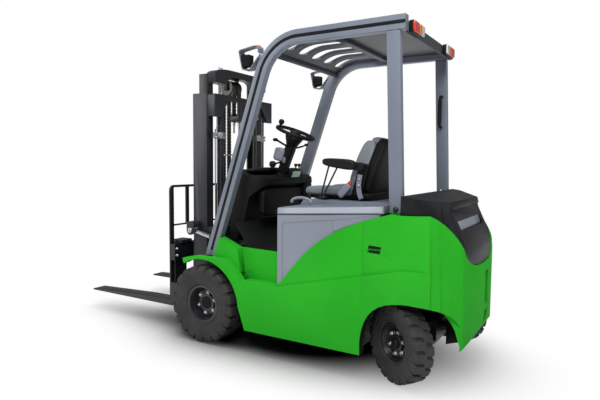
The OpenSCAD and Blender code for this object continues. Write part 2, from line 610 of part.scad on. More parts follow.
// Steering knuckle with its spindle along y, drawn at the kingpin
spindle_r = 24;
module knuckle(s) difference() {
    union() {
        translate([0, 0, -beam_h + seat_gap]) cylinder(r = 31, h = 2 * beam_h - 2 * seat_gap);
        rotate([-90 * s, 0, 0]) cylinder(r = spindle_r, h = steer_offset + 34);
        rotate([-90 * s, 0, 0]) translate([0, 0, 26]) cylinder(r1 = 46, r2 = 34, h = 34);
    }
    translate([0, 0, -beam_h - 1]) cylinder(r = pin_r + run_gap, h = 2 * beam_h + 2);
}
module at_kingpin(s) at_axle() translate([rear_x, s * kingpin_y, rear_r]) rotate([0, 0, steer_rest]) children();
module knuckle_left() color(black) at_kingpin(1) knuckle(1);
module knuckle_right() color(black) at_kingpin(-1) knuckle(-1);

// Tyre outline: bead, sidewall, shoulder and tread
module tyre_outline(d, rim_d, w) polygon(concat([[rim_d / 2 + seat_gap, -w * 0.36], [rim_d / 2 + 14, -w * 0.36]],
    curve([rim_d / 2 + 16, -w * 0.42], [d / 2 - 50, -w * 0.52], [d / 2 - 22, -w / 2 + 3], 4),
    curve([d / 2 - 14, -w / 2 + 5], [d / 2 - 2, -w / 2 + 10], [d / 2, -w / 2 + 30], 3),
    curve([d / 2, w / 2 - 30], [d / 2 - 2, w / 2 - 10], [d / 2 - 14, w / 2 - 5], 3),
    curve([d / 2 - 22, w / 2 - 3], [d / 2 - 50, w * 0.52], [rim_d / 2 + 16, w * 0.42], 4),
    [[rim_d / 2 + 14, w * 0.36], [rim_d / 2 + seat_gap, w * 0.36]]));
// Grooves run in from both shoulders, half a pitch apart, and leave the lugs
module tyre(d, rim_d, w) difference() {
    lathe() intersection() {
        tyre_outline(d, rim_d, w);
        translate([0, -w / 2]) square([d / 2, w]);
    }
    groove = 0.29 * PI * d / lug_n;
    for (i = [0:lug_n - 1]) for (s = [-1, 1]) rotate([0, (i + s / 4) * 360 / lug_n, 0])
        translate([0, s * w * 0.32, d / 2 - lug_h]) rotate([0, 0, s * 8])
            translate([-groove / 2, -w * 0.26, 0]) cube([groove, w * 0.54, lug_h + 10]);
}
// Rim: barrel with flanges, a dished disc and a hub sleeve; out is the side that faces outwards
module rim(rim_d, w, hub_r, disc_y, out) lathe() difference() {
    r = rim_d / 2;
    union() {
        translate([r - 9, -w * 0.36]) square([9, w * 0.72]);
        for (s = [-1, 1]) translate([r - 9, s * (w * 0.36 + 3 + seat_gap) - 3]) square([22, 6]);
        for (s = [-1, 1]) translate([r - 9, s * w * 0.36 - 2]) square([9, 4]);
        translate([hub_r, out * disc_y - 9]) square([r - hub_r - 4, 18]);
        translate([hub_r, out * disc_y - 30]) square([24, 60]);
    }
    translate([0, -w]) square([hub_r, 2 * w]);
}
module at_front(s) at_axle() translate([0, s * front_track / 2, front_r]) children();
module at_rear(s) at_kingpin(s) translate([0, s * steer_offset, 0]) children();
module front_tyre_left() color(rubber) at_front(1) tyre(front_d, front_rim_d, front_w);
module front_tyre_right() color(rubber) at_front(-1) tyre(front_d, front_rim_d, front_w);
module front_rim_left() color(black) at_front(1) rim(front_rim_d, front_w, stub_r + run_gap, 0, 1);
module front_rim_right() color(black) at_front(-1) rim(front_rim_d, front_w, stub_r + run_gap, 0, -1);
module rear_tyre_left() color(rubber) at_rear(1) tyre(rear_d, rear_rim_d, rear_w);
module rear_tyre_right() color(rubber) at_rear(-1) tyre(rear_d, rear_rim_d, rear_w);
module rear_rim_left() color(black) at_rear(1) rim(rear_rim_d, rear_w, spindle_r + run_gap, 4, 1);
module rear_rim_right() color(black) at_rear(-1) rim(rear_rim_d, rear_w, spindle_r + run_gap, 4, -1);

// An outline from its right half, whose points run from the top round to the bottom
function both_ways(half) = concat(half, [for (i = [len(half) - 1:-1:0]) [-half[i][0], half[i][1]]]);
// C channel standing on z0, open towards the middle of the truck
module channel(x0, x1, y_out, w, t, z0, z1) translate([0, 0, z0]) linear_extrude(z1 - z0) difference() {
    translate([x0, y_out - w]) square([x1 - x0, w]);
    translate([x0 + t, y_out - w - 1]) square([x1 - x0 - 2 * t, w - t + 1]);
}
module outer_mast() color(black) at_axle() {
    mirrored() channel(mast_x, mast_x + mast_depth, mast_y, flange_w, channel_t, mast_foot, mast_top);
    // cross-members behind the inner mast: foot, middle and top
    translate([lift_x - lift_d / 2 - 6, -mast_y, mast_foot]) cube([lift_d + 10 + eps, 2 * mast_y, foot_t]);
    translate([mast_x - 30, 30 - lift_y, mast_foot]) cube([30, 2 * lift_y - 60, 110]);
    translate([tie_x, -mast_y, 690]) cube([tie_t, 2 * mast_y, 80]);
    mirrored() translate([tie_x, mast_y - 46, 690]) cube([mast_x - tie_x + eps, 46, 80]);
    translate([tie_x, 0, 0]) rotate([90, 0, 90]) linear_extrude(tie_t) polygon(both_ways([[mast_y, mast_top - 8],
        [mast_y, mast_top - 170], [mast_y - 60, mast_top - 170], [mast_y - 150, mast_top - 48]]));
    mirrored() translate([tie_x, mast_y - 46, mast_top - 164]) cube([mast_x - tie_x + eps, 42, 150]);
    // plate that holds the chains' ends
    translate([tie_x, -chain_y - 40, anchor_z - 40]) cube([tie_t, 2 * chain_y + 80, mast_top - anchor_z + 10]);
    translate([tie_x, -chain_y - 40, anchor_z - 40]) cube([chain_rear_x - tie_x + 10, 2 * chain_y + 80, 40 - seat_gap]);
    // feet that turn on the axle's tubes
    mirrored() slab(mast_y - 62, mast_y - 10) difference() {
        union() {
            translate([0, front_r]) circle(88);
            polygon([[0, front_r - 88], [mast_x + 1, mast_foot + 60], [mast_x + 1, front_r + 190],
                [0, front_r + 88]]);
        }
        translate([0, front_r]) circle(tube_r + run_gap);
    }
    // ears for the tilt rods
    mirrored() for (side = [-1, 1]) slab(tilt_y + side * 27 - 6, tilt_y + side * 27 + 6) difference() {
        union() {
            translate(tilt_pin) circle(34);
            translate([tilt_pin[0] - 34, tilt_pin[1]]) square([68, 60]);
        }
        translate(tilt_pin) circle(tilt_pin_r + eye_play);
    }
    mirrored() slab(mast_y - 1, tilt_y + 33) polygon([[tilt_pin[0] - 34, tilt_pin[1] + 44],
        [tilt_pin[0] + 34, tilt_pin[1] + 44], [tilt_pin[0] + 20, tilt_pin[1] + 64],
        [tilt_pin[0] - 20, tilt_pin[1] + 64]]);
}
barrel_top = mast_top - 72;
barrel_foot = mast_foot + foot_t + seat_gap;
module lift_barrels() color(black) at_axle() mirrored() difference() {
    union() {
        translate([lift_x, lift_y, barrel_foot]) cylinder(r = lift_d / 2, h = barrel_top - barrel_foot);
        translate([lift_x, lift_y, barrel_top - 40]) cylinder(r = lift_d / 2 + 3, h = 40);
        translate([lift_x, lift_y - 14, mast_top - 320]) cube([mast_x - lift_x - seat_gap, mast_y - lift_y - 20, 44]);
    }
    translate([lift_x, lift_y, barrel_foot + 18]) cylinder(r = lift_rod_d / 2 + run_gap, h = 2000);
}

module inner_mast() color(black) at_axle() {
    mirrored() channel(inner_x0, inner_x1, inner_out_y, flange_w, inner_t, inner_foot, head_z + 60);
    // rollers in the outer channels
    mirrored() for (z = [inner_foot + 60, inner_foot + 190]) translate([mast_mid, inner_out_y - eps, z])
        rotate([-90, 0, 0]) cylinder(r = roller_r, h = 18);
    // crosshead behind the carriage's rollers: deep over the lift rods and shallow over the chains
    translate([mast_x - 46, 0, 0]) rotate([90, 0, 90]) linear_extrude(head_x - mast_x + 46) polygon(both_ways(concat(
        curve([130, head_top], [inner_out_y - 60, head_top], [inner_out_y - 4, head_top - 34], 8),
        [[inner_out_y - 4, head_z], [lift_y - 50, head_z]], curve([lift_y - 62, head_z + 8], [lift_y - 80, crown_z], [90, crown_z], 8))));
    mirrored() translate([head_x - 8, inner_in_y, head_z + 59]) cube([inner_x1 - head_x + 8, flange_w, 7]);
    // lower tie, and the bracket with the sheaves' axle
    translate([inner_x0, -inner_out_y + 2, inner_foot]) cube([inner_t, 2 * inner_out_y - 4, 20]);
    translate([mast_x - 20, -sheave_out_y, crown_z + 3]) cube([sheave_x + 38 - mast_x, 2 * sheave_out_y, 28]);
    mirrored() translate([sheave_x - 18, sheave_out_y - 10, sheave_z - 20])
        cube([36, 10, crown_z - sheave_z + 30]);
    translate([sheave_x, 0, sheave_z]) rotate([90, 0, 0])
        cylinder(r = 12, h = 2 * sheave_out_y - 12, center = true);
}
rod_foot = barrel_foot + 24 + lift_rest;
module lift_rods() color(steel) at_axle() mirrored()
    translate([lift_x, lift_y, rod_foot]) cylinder(r = lift_rod_d / 2, h = head_z - rod_foot - seat_gap);

module sheaves() color(grey) at_axle() mirrored() translate([sheave_x, chain_y, sheave_z]) lathe() difference() {
    translate([12 + run_gap, -chain_w / 2 - 4]) square([sheave_d / 2 + 6 - 12, chain_w + 8]);
    translate([sheave_d / 2 - 6, -chain_w / 2 - 1]) square([20, chain_w + 2]);
}

module chain_rear() color(steel) at_axle() mirrored()
    translate([chain_rear_x + 6 - seat_gap - chain_t, chain_y - chain_w / 2, anchor_z])
        cube([chain_t, chain_w, sheave_z - anchor_z]);
module chain_front() color(steel) at_axle() mirrored()
    translate([chain_front_x - 6 + seat_gap, chain_y - chain_w / 2, carriage_z + 20 + anchor_h])
        cube([chain_t, chain_w, sheave_z - carriage_z - 20 - anchor_h]);

module carriage() color(black) at_axle() {
    for (z = [carriage_z, carriage_top - 120]) translate([bar_x0, -carriage_w / 2, z])
        cube([bar_t, carriage_w, 120]);
    mirrored() slab(plate_y - plate_t, plate_y) polygon([[inner_x0 + 21, carriage_z + 40],
        [inner_x0 + 21, carriage_top - 40], [bar_x0 + 1, carriage_top], [bar_x0 + 1, carriage_z]]);
    mirrored() for (z = [carriage_z + 66, carriage_z + 235]) translate([mast_mid, plate_y - eps, z])
        rotate([-90, 0, 0]) cylinder(r = (inner_x1 - inner_x0) / 2 - inner_t - seat_gap, h = flange_w - inner_t);
    // beam that takes the chains' ends
    translate([chain_front_x - 30, -plate_y + 1, carriage_z + 20]) cube([60, 2 * plate_y - 2, anchor_h - seat_gap]);
}

// Fork: blade, heel and shank with hooks over the two bars
module fork(s) at_axle() translate([0, s * fork_y, 0]) {
    slab(-fork_w / 2, fork_w / 2) polygon([[bar_x1 + seat_gap, carriage_top + 26], [bar_x1 + seat_gap, fork_z + 46],
        [bar_x1 + 14, fork_z + 12], [bar_x1 + 46, fork_z], [fork_face + fork_len, fork_z],
        [fork_face + fork_len, fork_z + 12], [fork_face + 280, fork_z + fork_t], [fork_face + 22, fork_z + fork_t],
        [fork_face, fork_z + fork_t + 22], [fork_face, carriage_top + 26]]);
    slab(-fork_w / 2, fork_w / 2) polygon([[bar_x1 + 1, carriage_top + seat_gap], [bar_x0 - 14, carriage_top + seat_gap],
        [bar_x0 - 14, carriage_top + 26], [bar_x1 + 1, carriage_top + 26]]);
}
module fork_left() color(black) fork(1);
module fork_right() color(black) fork(-1);

backrest_t = 14;
module load_backrest() color(black) at_axle() translate([bar_x1 + seat_gap, 0, 0]) {
    top = carriage_top + backrest_h;
    half = carriage_w / 2;
    mirrored() translate([0, half - 40, carriage_z]) cube([backrest_t, 40, top - carriage_z - 40]);
    mirrored() translate([0, half - 40, top - 40]) rotate([0, 90, 0]) intersection() {
        cylinder(r = 40, h = backrest_t);
        translate([-40, 0, 0]) cube([40, 40, backrest_t]);
    }
    translate([0, -half + 40, top - 18]) cube([backrest_t, 2 * half - 80, 18]);
    translate([0, -half + 1, carriage_top + 130]) cube([backrest_t, 2 * half - 2, 12]);
    for (y = [-260, -87, 87, 260]) translate([0, y - 16, carriage_top + 131]) cube([backrest_t, 32, backrest_h - 140]);
}

// Tilt cylinders: barrel on the chassis' ears, rod on the mast's ears
module at_tilt() mirrored() translate([tilt_rear[0], tilt_y, tilt_rear[1]]) rotate([0, -tilt_slope, 0]) children();
module tilt_barrels() color(black) at_axle() at_tilt() difference() {
    union() {
        rotate([90, 0, 0]) cylinder(r = 30, h = 50, center = true);
        rotate([90, 0, 0]) cylinder(r = tilt_pin_r, h = 82, center = true);
        rotate([0, 90, 0]) cylinder(r = 22, h = 60);
        translate([42, 0, 0]) rotate([0, 90, 0]) cylinder(r = tilt_d / 2, h = 218);
    }
    translate([62, 0, 0]) rotate([0, 90, 0]) cylinder(r = tilt_rod_d / 2 + run_gap, h = 300);
}
module tilt_rods() color(steel) at_axle() at_tilt() {
    translate([150, 0, 0]) rotate([0, 90, 0]) cylinder(r = tilt_rod_d / 2, h = tilt_len - 150);
    translate([tilt_len, 0, 0]) rotate([90, 0, 0]) cylinder(r = 28, h = 40, center = true);
    translate([tilt_len, 0, 0]) rotate([90, 0, 0]) cylinder(r = tilt_pin_r, h = 66, center = true);
}

chassis_frame();
floor_plate();
cowl();
steering_column();
control_levers();
counterweight();
rear_cover();
battery();
side_doors();
guard_pillars();
guard_posts();
guard_roof();
grab_handle();
headlamps();
rear_lamps();
drive_axle();
steer_axle();
hood();
seat_frame();
seat_cushion();
seat_back();
armrests();
steering_wheel();
knuckle_left();
knuckle_right();
front_tyre_left();
front_tyre_right();
front_rim_left();
front_rim_right();
rear_tyre_left();
rear_tyre_right();
rear_rim_left();
rear_rim_right();
outer_mast();
lift_barrels();
inner_mast();
lift_rods();
sheaves();
chain_rear();
chain_front();
carriage();
fork_left();
fork_right();
load_backrest();
tilt_barrels();
tilt_rods();
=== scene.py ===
# %% [markdown]
# # A counterbalance forklift truck
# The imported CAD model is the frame: every piece below sits on it, in metres, with +X along the
# forks, +Y to the truck's left and the floor at z = 0. The lesson goes from the tools to the
# stage, then the finishes, and then one group of pieces after another.

# %% Load the frame
import math

import bmesh
import bpy
import numpy as np
from mathutils import Matrix, Vector


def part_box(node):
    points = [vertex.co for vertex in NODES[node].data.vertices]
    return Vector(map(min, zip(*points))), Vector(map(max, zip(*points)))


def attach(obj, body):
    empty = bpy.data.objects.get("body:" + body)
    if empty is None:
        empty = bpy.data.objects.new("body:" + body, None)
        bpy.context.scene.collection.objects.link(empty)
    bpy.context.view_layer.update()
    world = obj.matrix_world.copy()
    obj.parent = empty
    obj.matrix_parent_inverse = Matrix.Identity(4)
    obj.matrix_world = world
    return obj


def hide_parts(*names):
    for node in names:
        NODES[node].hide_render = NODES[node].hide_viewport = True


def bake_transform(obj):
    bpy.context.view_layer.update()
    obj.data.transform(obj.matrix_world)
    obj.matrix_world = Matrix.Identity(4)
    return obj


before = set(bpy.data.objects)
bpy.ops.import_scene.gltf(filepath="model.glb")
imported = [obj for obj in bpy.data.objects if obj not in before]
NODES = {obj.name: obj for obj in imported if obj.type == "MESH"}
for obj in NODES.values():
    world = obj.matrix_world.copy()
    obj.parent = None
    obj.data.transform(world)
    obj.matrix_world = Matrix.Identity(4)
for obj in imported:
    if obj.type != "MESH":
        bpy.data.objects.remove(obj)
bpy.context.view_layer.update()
scene = bpy.context.scene
TAU = 2 * math.pi
BOTH = (1, -1)
SIDES = (("left", 1), ("right", -1))

# %% [markdown]
# ## Surfaces from arrays
# Most pieces of a truck are turned, bent or pressed, so each one is a grid of points: one
# parameter runs along the piece and the other round it. Working on whole numpy arrays keeps a
# formula as short as it is on paper, and one function turns any such grid into a mesh.

# %% Grid to mesh
def put_mesh(name, points, faces, body, finish, smooth=True):
    """A mesh object from points and faces, riding on a body if one is given."""
    mesh = bpy.data.meshes.new(name)
    mesh.from_pydata(np.asarray(points, float).tolist(), [], faces)
    mesh.polygons.foreach_set("use_smooth", np.full(len(mesh.polygons), smooth))
    piece = bpy.data.objects.new(name, mesh)
    scene.collection.objects.link(piece)
    mesh.materials.append(finish)
    if body:
        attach(piece, body)
    return piece


def grid_faces(rows, cols, wrap_rows=False, start=0):
    """Quads between neighbours of a rows x cols grid, with its last row joined to its first on a wrap."""
    a, b = np.meshgrid(np.arange(rows if wrap_rows else rows - 1), np.arange(cols - 1), indexing="ij")
    a2 = (a + 1) % rows
    quads = np.stack([a * cols + b, a * cols + b + 1, a2 * cols + b + 1, a2 * cols + b], -1)
    return quads.reshape(-1, 4) + start


def tidy(piece, gap=1e-5):
    """Merges doubled points, so seams and poles close, and turns every face outward."""
    work = bmesh.new()
    work.from_mesh(piece.data)
    bmesh.ops.remove_doubles(work, verts=work.verts, dist=gap)
    bmesh.ops.dissolve_degenerate(work, edges=work.edges, dist=gap / 2)
    bmesh.ops.recalc_face_normals(work, faces=work.faces)
    work.to_mesh(piece.data)
    work.free()
    return piece


def surface(name, grids, finish, body="chassis", wrap_rows=False, smooth=True):
    """One piece from one or more (rows, cols, 3) grids of points, closed where they wrap."""
    grids = [grids] if isinstance(grids, np.ndarray) else grids
    points, faces, start = [], [], 0
    for g in grids:
        points.append(g.reshape(-1, 3))
        faces += grid_faces(*g.shape[:2], wrap_rows, start).tolist()
        start += g.shape[0] * g.shape[1]
    return tidy(put_mesh(name, np.concatenate(points), faces, body, finish, smooth))


# %% Turned, swept and pillow shapes
def frame_of(axis):
    """Two unit vectors across an axis, and the axis itself, as the rows of a turn."""
    w = np.asarray(axis, float) / np.linalg.norm(axis)
    u = np.cross([0, 0, 1.0], w) if abs(w[2]) < 0.9 else np.cross([0, 1.0, 0], w)
    u /= np.linalg.norm(u)
    return u, np.cross(w, u), w


def turned(profile, centre, axis, steps=48):
    """Surface of revolution: each (radius, height) of the profile swept once round the axis."""
    profile = np.asarray(profile, float)
    u, v, w = frame_of(axis)
    a = np.linspace(0, TAU, steps, endpoint=False)
    ring = np.cos(a)[:, None] * u + np.sin(a)[:, None] * v
    grid = ring[:, None, :] * profile[None, :, 0, None] + profile[None, :, 1, None] * w
    return np.concatenate([grid, grid[:1]]) + np.asarray(centre, float)


def smooth_path(points, count):
    """A Catmull-Rom curve through the points, sampled evenly along its length."""
    p = np.asarray(points, float)
    q = np.concatenate([[2 * p[0] - p[1]], p, [2 * p[-1] - p[-2]]])
    t = np.linspace(0, 1, 24, endpoint=False)[:, None]
    parts = [0.5 * (2 * q[i] + (q[i + 1] - q[i - 1]) * t
             + (2 * q[i - 1] - 5 * q[i] + 4 * q[i + 1] - q[i + 2]) * t ** 2
             + (3 * q[i] - q[i - 1] - 3 * q[i + 1] + q[i + 2]) * t ** 3) for i in range(1, len(q) - 2)]
    line = np.concatenate(parts + [p[-1:]])
    s = np.concatenate([[0], np.cumsum(np.linalg.norm(np.diff(line, axis=0), axis=1))])
    at = np.linspace(0, s[-1], count)
    return np.stack([np.interp(at, s, line[:, k]) for k in range(3)], -1)


def swept(path, section, up=(0, 0, 1), sizes=None):
    """A closed (across, up) section carried along a path, square to it, ends closed to a point."""
    path, section = np.asarray(path, float), np.asarray(section, float)
    d = np.gradient(path, axis=0)
    d /= np.linalg.norm(d, axis=1)[:, None]
    side = np.cross(d, np.asarray(up, float))
    side /= np.linalg.norm(side, axis=1)[:, None]
    rise = np.cross(side, d)
    s = np.ones(len(path)) if sizes is None else np.asarray(sizes, float)
    grid = path[:, None] + s[:, None, None] * (
        section[None, :, :1] * side[:, None] + section[None, :, 1:] * rise[:, None])
    ends = [np.repeat(path[i][None, None], len(section), 1) for i in (0, -1)]
    grid = np.concatenate([ends[0], grid, ends[1]])
    return np.concatenate([grid, grid[:, :1]], 1)


def ring_section(r, n):
    """A round section of n points: cosine across and sine up."""
    a = np.linspace(0, TAU, n, endpoint=False)
    return np.stack([r * np.cos(a), r * np.sin(a)], -1)


def box_section(w, h, r, n=5):
    """A rounded rectangle w x h: quarter circles of radius r about its four corners."""
    quarter = math.pi / 2
    a = np.linspace(0, quarter, n)
    x, y = w / 2 - r, h / 2 - r
    corners = [(x, y), (-x, y), (-x, -y), (x, -y)]
    arcs = [np.stack([cx + r * np.cos(a + k * quarter), cy + r * np.sin(a + k * quarter)], -1)
            for k, (cx, cy) in enumerate(corners)]
    return np.concatenate(arcs)


def pillow(centre, size, power=4.0, n=40, turn=None):
    """A superellipsoid: a sphere whose sines and cosines are raised to 2/power, so a high power
    gives a block with rounded edges and 2 gives an egg."""
    turns = np.linspace(-math.pi, math.pi, 2 * n + 1)
    rises = np.linspace(-math.pi / 2, math.pi / 2, n + 1)
    u, v = np.meshgrid(turns, rises, indexing="ij")

    def root(t):
        return np.sign(t) * np.abs(t) ** (2.0 / power)

    p = np.stack([root(np.cos(v)) * root(np.cos(u)), root(np.cos(v)) * root(np.sin(u)), root(np.sin(v))], -1)
    p = p * np.asarray(size, float) / 2
    if turn is not None:
        p = p @ np.asarray(turn).T
    return p + np.asarray(centre, float)


def about_y(angle):
    """Turn by an angle in degrees about +Y, as a matrix."""
    a = math.radians(angle)
    return np.array([[math.cos(a), 0, math.sin(a)], [0, 1, 0], [-math.sin(a), 0, math.cos(a)]])


def smooth_step(t):
    """Clips a value to 0..1 and eases both its ends, by three squares less two cubes."""
    t = np.clip(t, 0, 1)
    return t * t * (3 - 2 * t)


def mirrored(points, side):
    """Points of the left side, or with -1 their mirror image on the right."""
    return np.asarray(points, float) * [1, side, 1]


def at_y(y, places):
    """Points at one distance from the truck's middle, from their (x, z) places."""
    return np.array([(x, y, z) for x, z in places])


print("helpers ready")

# %% [markdown]
# ## Softened copies of CAD nodes
# A real casting or pressing has no knife edges: each edge is broken by a small radius, and that
# radius is what catches the light. The CAD solids have sharp edges, so a node that shows gets a
# copy that is merged, cleaned to flat faces and finished with a Bevel.

# %% Softened copy
def in_shaded_arch(c, n):
    """True for a face inside the rear wheel arch, by its middle and normal: low, behind the battery,
    and not on the outer side, the tail or the tow pin's pocket. These faces get painted shade: black
    where the arch's inside lies in shadow."""
    side = abs(c.y) > 0.47 and n.y * c.y > 0.14
    tail = c.x < -1.4 and n.x < -0.3
    pocket = c.x < -1.34 and abs(c.y) < 0.1
    return c.z < 0.6 and c.x < -0.93 and not (side or tail or pocket)


def softened(node, body, finish, width, angle=28, move=None, cuts=(), inner=None, split=False):
    """Copies a CAD node's mesh, merges its loose triangles, joins flat neighbours into whole faces
    and rounds each edge sharper than the angle by the width. A move takes the array of points and
    gives their new places; cuts are places along the truck where faces are first divided for it.
    Faces inside the rear wheel arch take the inner finish, painted shade that darkens the arch's
    shadowed inside. With split, faces that run round an opening are divided into convex ones."""
    mesh = NODES[node].data.copy()
    mesh.materials.clear()
    mesh.materials.append(finish)
    if inner is not None:
        mesh.materials.append(inner)
    piece = bpy.data.objects.new(node + "_soft", mesh)
    scene.collection.objects.link(piece)
    work = bmesh.new()
    work.from_mesh(mesh)
    bmesh.ops.remove_doubles(work, verts=work.verts, dist=2e-5)
    bmesh.ops.dissolve_limit(work, angle_limit=math.radians(0.6), verts=work.verts, edges=work.edges)
    if split:
        bmesh.ops.connect_verts_concave(work, faces=work.faces)
    for x in cuts:
        whole = work.verts[:] + work.edges[:] + work.faces[:]
        bmesh.ops.bisect_plane(work, geom=whole, plane_co=(x, 0, 0), plane_no=(1, 0, 0))
    if move is not None:
        for v, place in zip(work.verts, move(np.array([v.co[:] for v in work.verts]))):
            v.co = place
    work.normal_update()
    for f in work.faces:
        f.smooth = True
        f.material_index = int(inner is not None and in_shaded_arch(f.calc_center_median(), f.normal))
    work.to_mesh(mesh)
    work.free()
    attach(piece, body)
    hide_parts(node)
    ease = piece.modifiers.new("eased edges", "BEVEL")
    ease.width, ease.segments, ease.limit_method = width, 3, "ANGLE"
    ease.angle_limit = math.radians(angle)
    ease.harden_normals = True
    ease.use_clamp_overlap = True
    ease.miter_outer = "MITER_ARC"


# %% [markdown]
# ## Camera
# The photograph was taken from the left rear, a little above the seat, with a fairly short lens.
# Its place was found by fitting the wheels, posts and guard of the model to the picture.

# %% Camera
def aim(name, place, yaw, pitch, roll, focal_px, width_px=600):
    """A camera at a place, turned from +X by yaw, up by pitch, with its focal length in pixels."""
    data = bpy.data.cameras.new(name)
    data.sensor_width, data.sensor_fit = 36.0, "HORIZONTAL"
    data.lens = focal_px / width_px * data.sensor_width
    data.clip_end = 100
    camera = bpy.data.objects.new(name, data)
    y, p = math.radians(yaw), math.radians(pitch)
    look = Vector((math.cos(y) * math.cos(p), math.sin(y) * math.cos(p), math.sin(p)))
    turn = look.to_track_quat("-Z", "Y").to_matrix().to_4x4()
    camera.matrix_world = Matrix.Translation(place) @ turn @ Matrix.Rotation(math.radians(roll), 4, "Z")
    scene.collection.objects.link(camera)
    scene.camera = camera


aim("camera", (-2.1545, 3.187, 1.236), yaw=-59.1, pitch=-4.1, roll=0.5, focal_px=514)
print("lens", round(scene.camera.data.lens, 2), "mm")

# %% [markdown]
# ## Nodes for the finishes
# One function turns a colour picker's hex value to the linear light that a shader needs, and one
# adds a node with its settings and links.

# %% Colour and node helpers
def linear(code):
    """Each pair of hex digits over 255, through the sRGB curve's inverse."""
    c = np.array([int(code[i:i + 2], 16) for i in (1, 3, 5)]) / 255
    c = np.where(c <= 0.04045, c / 12.92, ((c + 0.055) / 1.055) ** 2.4)
    return (*[float(v) for v in c], 1.0)


def add(tree, kind, settings=None, links=None):
    """A node of a kind; settings are attributes or input values, links join sockets to inputs."""
    node = tree.nodes.new(kind)
    for key, value in (settings or {}).items():
        if isinstance(key, str) and hasattr(node, key):
            setattr(node, key, value)
        else:
            node.inputs[key].default_value = value
    for key, source in (links or {}).items():
        tree.links.new(source, node.inputs[key])
    return node


def finish_of(name, code, rough, metallic=0.0, **sockets):
    """A Principled material with its fixed values on its own sockets; gives the material, its
    tree, the shader and the Object coordinates."""
    material = bpy.data.materials.new(name)
    material.use_nodes = True
    tree = material.node_tree
    shader = tree.nodes["Principled BSDF"]
    shader.inputs["Base Color"].default_value = linear(code)
    shader.inputs["Roughness"].default_value = rough
    shader.inputs["Metallic"].default_value = metallic
    for key, value in sockets.items():
        shader.inputs[key.replace("_", " ")].default_value = value
    place = add(tree, "ShaderNodeTexCoord").outputs["Object"]
    return material, tree, shader, place


def patterned(tree, shader, tones, gloss=None, relief=None, near=0.35, far=0.65):
    """Links patterns to a shader: tones is (factor, from, to) for a ramp of two colours between near
    and far, gloss is (factor, low, high) for the roughness, relief is (height, strength, metres)."""
    factor, *codes = tones
    ramp = add(tree, "ShaderNodeValToRGB", links={"Fac": factor})
    for element, place, code in zip(ramp.color_ramp.elements, (near, far), codes):
        element.position, element.color = place, linear(code)
    tree.links.new(ramp.outputs["Color"], shader.inputs["Base Color"])
    if gloss:
        value, low, high = gloss
        spread = add(tree, "ShaderNodeMapRange", {"To Min": low, "To Max": high}, {"Value": value})
        tree.links.new(spread.outputs["Result"], shader.inputs["Roughness"])
    if relief:
        height, strength, depth = relief
        bump = add(tree, "ShaderNodeBump", {"Strength": strength, "Distance": depth}, {"Height": height})
        tree.links.new(bump.outputs["Normal"], shader.inputs["Normal"])


# %% [markdown]
# ## Painted steel
# The body is sprayed with green enamel: a thin clear skin, slightly rippled, over a strong
# colour. The guard and hood carry a darker satin grey, and the mast a thick black. Sprayed paint
# is never quite even, so each has a faint drift of tone and a ripple a few millimetres wide.

# %% Paint finishes
def sprayed(name, code, other, rough, ripple_mm, coat, **sockets):
    """Enamel: a wide noise drifts between two tones, and a fine one gives the ripple of the spray."""
    sockets.update(Coat_Weight=coat, Coat_Roughness=0.08)
    material, tree, shader, place = finish_of(name, code, rough, **sockets)
    drift = add(tree, "ShaderNodeTexNoise", {"Scale": 2.2, "Detail": 3.0}, {"Vector": place})
    dust = add(tree, "ShaderNodeTexNoise", {"Scale": 14.0, "Detail": 6.0}, {"Vector": place})
    skin = add(tree, "ShaderNodeTexNoise", {"Scale": 1000 / ripple_mm, "Detail": 1.0}, {"Vector": place})
    patterned(tree, shader, (drift.outputs["Fac"], other, code),
              (dust.outputs["Fac"], rough - 0.05, rough + 0.07), (skin.outputs["Fac"], 0.05, 0.0004))
    return material


# green enamel gives the body its saturated colour; only its thin clear coat shines, so that the
# tail stays green where it is seen at a slant
GREEN = sprayed("green_enamel", "#2fab2a", "#29a225", 0.3, 6, 0.06, Specular_IOR_Level=0.0)
# satin enamel on the guard reads as a cool dark grey with a wide sheen
GREY = sprayed("grey_satin_enamel", "#767d8b", "#6e7583", 0.4, 5, 0.15)
# the side covers are a lighter grey, and the hood's band the palest, so that each edge reads
HOOD_GREY = sprayed("hood_grey_enamel", "#858a99", "#7d8290", 0.38, 5, 0.2)
PALE = sprayed("pale_hood_enamel", "#aeb2bf", "#a6aab7", 0.36, 5, 0.25)
# painted shade: the roof sheet is one grey with the guard, but it is given a deeper grey so that it reads
# dark from below, where it lies in shadow
ROOF_SHADE_GREY = sprayed("roof_painted_shade_enamel", "#363a43", "#30343c", 0.46, 5, 0.05)
# thick black enamel on the mast is nearly black, with a broad soft highlight
BLACK = sprayed("black_enamel", "#1b1d22", "#16181c", 0.4, 7, 0.1)
# rims and forks wear a thinner black that shows a little more of the light
RIM = sprayed("rim_black_enamel", "#1f2023", "#191a1c", 0.38, 6, 0.25)
FORK = sprayed("forged_fork_black", "#232427", "#1c1d1f", 0.45, 9, 0.1)
print("paints", [m.name for m in (GREEN, GREY, HOOD_GREY, PALE, ROOF_SHADE_GREY, BLACK, RIM, FORK)])

# %% [markdown]
# ## Plastics, rubber and vinyl
# The cowl, rear cover and seat shell are moulded plastic with a fine grain from the tool. Tyres
# are carbon-black rubber, dull and a little dusty between the lugs. The seat is a grained vinyl.

# %% Moulded finishes
def grained(name, code, other, rough, grain_mm, depth_mm, **sockets):
    """Moulded plastic: Voronoi cells of the tool's grain size, raised, with a soft tone drift."""
    material, tree, shader, place = finish_of(name, code, rough, IOR=1.5, **sockets)
    drift = add(tree, "ShaderNodeTexNoise", {"Scale": 5.0, "Detail": 4.0}, {"Vector": place})
    cells = add(tree, "ShaderNodeTexVoronoi", {"Scale": 1000 / grain_mm}, {"Vector": place})
    cells = cells.outputs["Distance"]
    patterned(tree, shader, (drift.outputs["Fac"], other, code), (cells, rough - 0.06, rough + 0.1),
              (cells, 0.35, depth_mm / 1000))
    return material


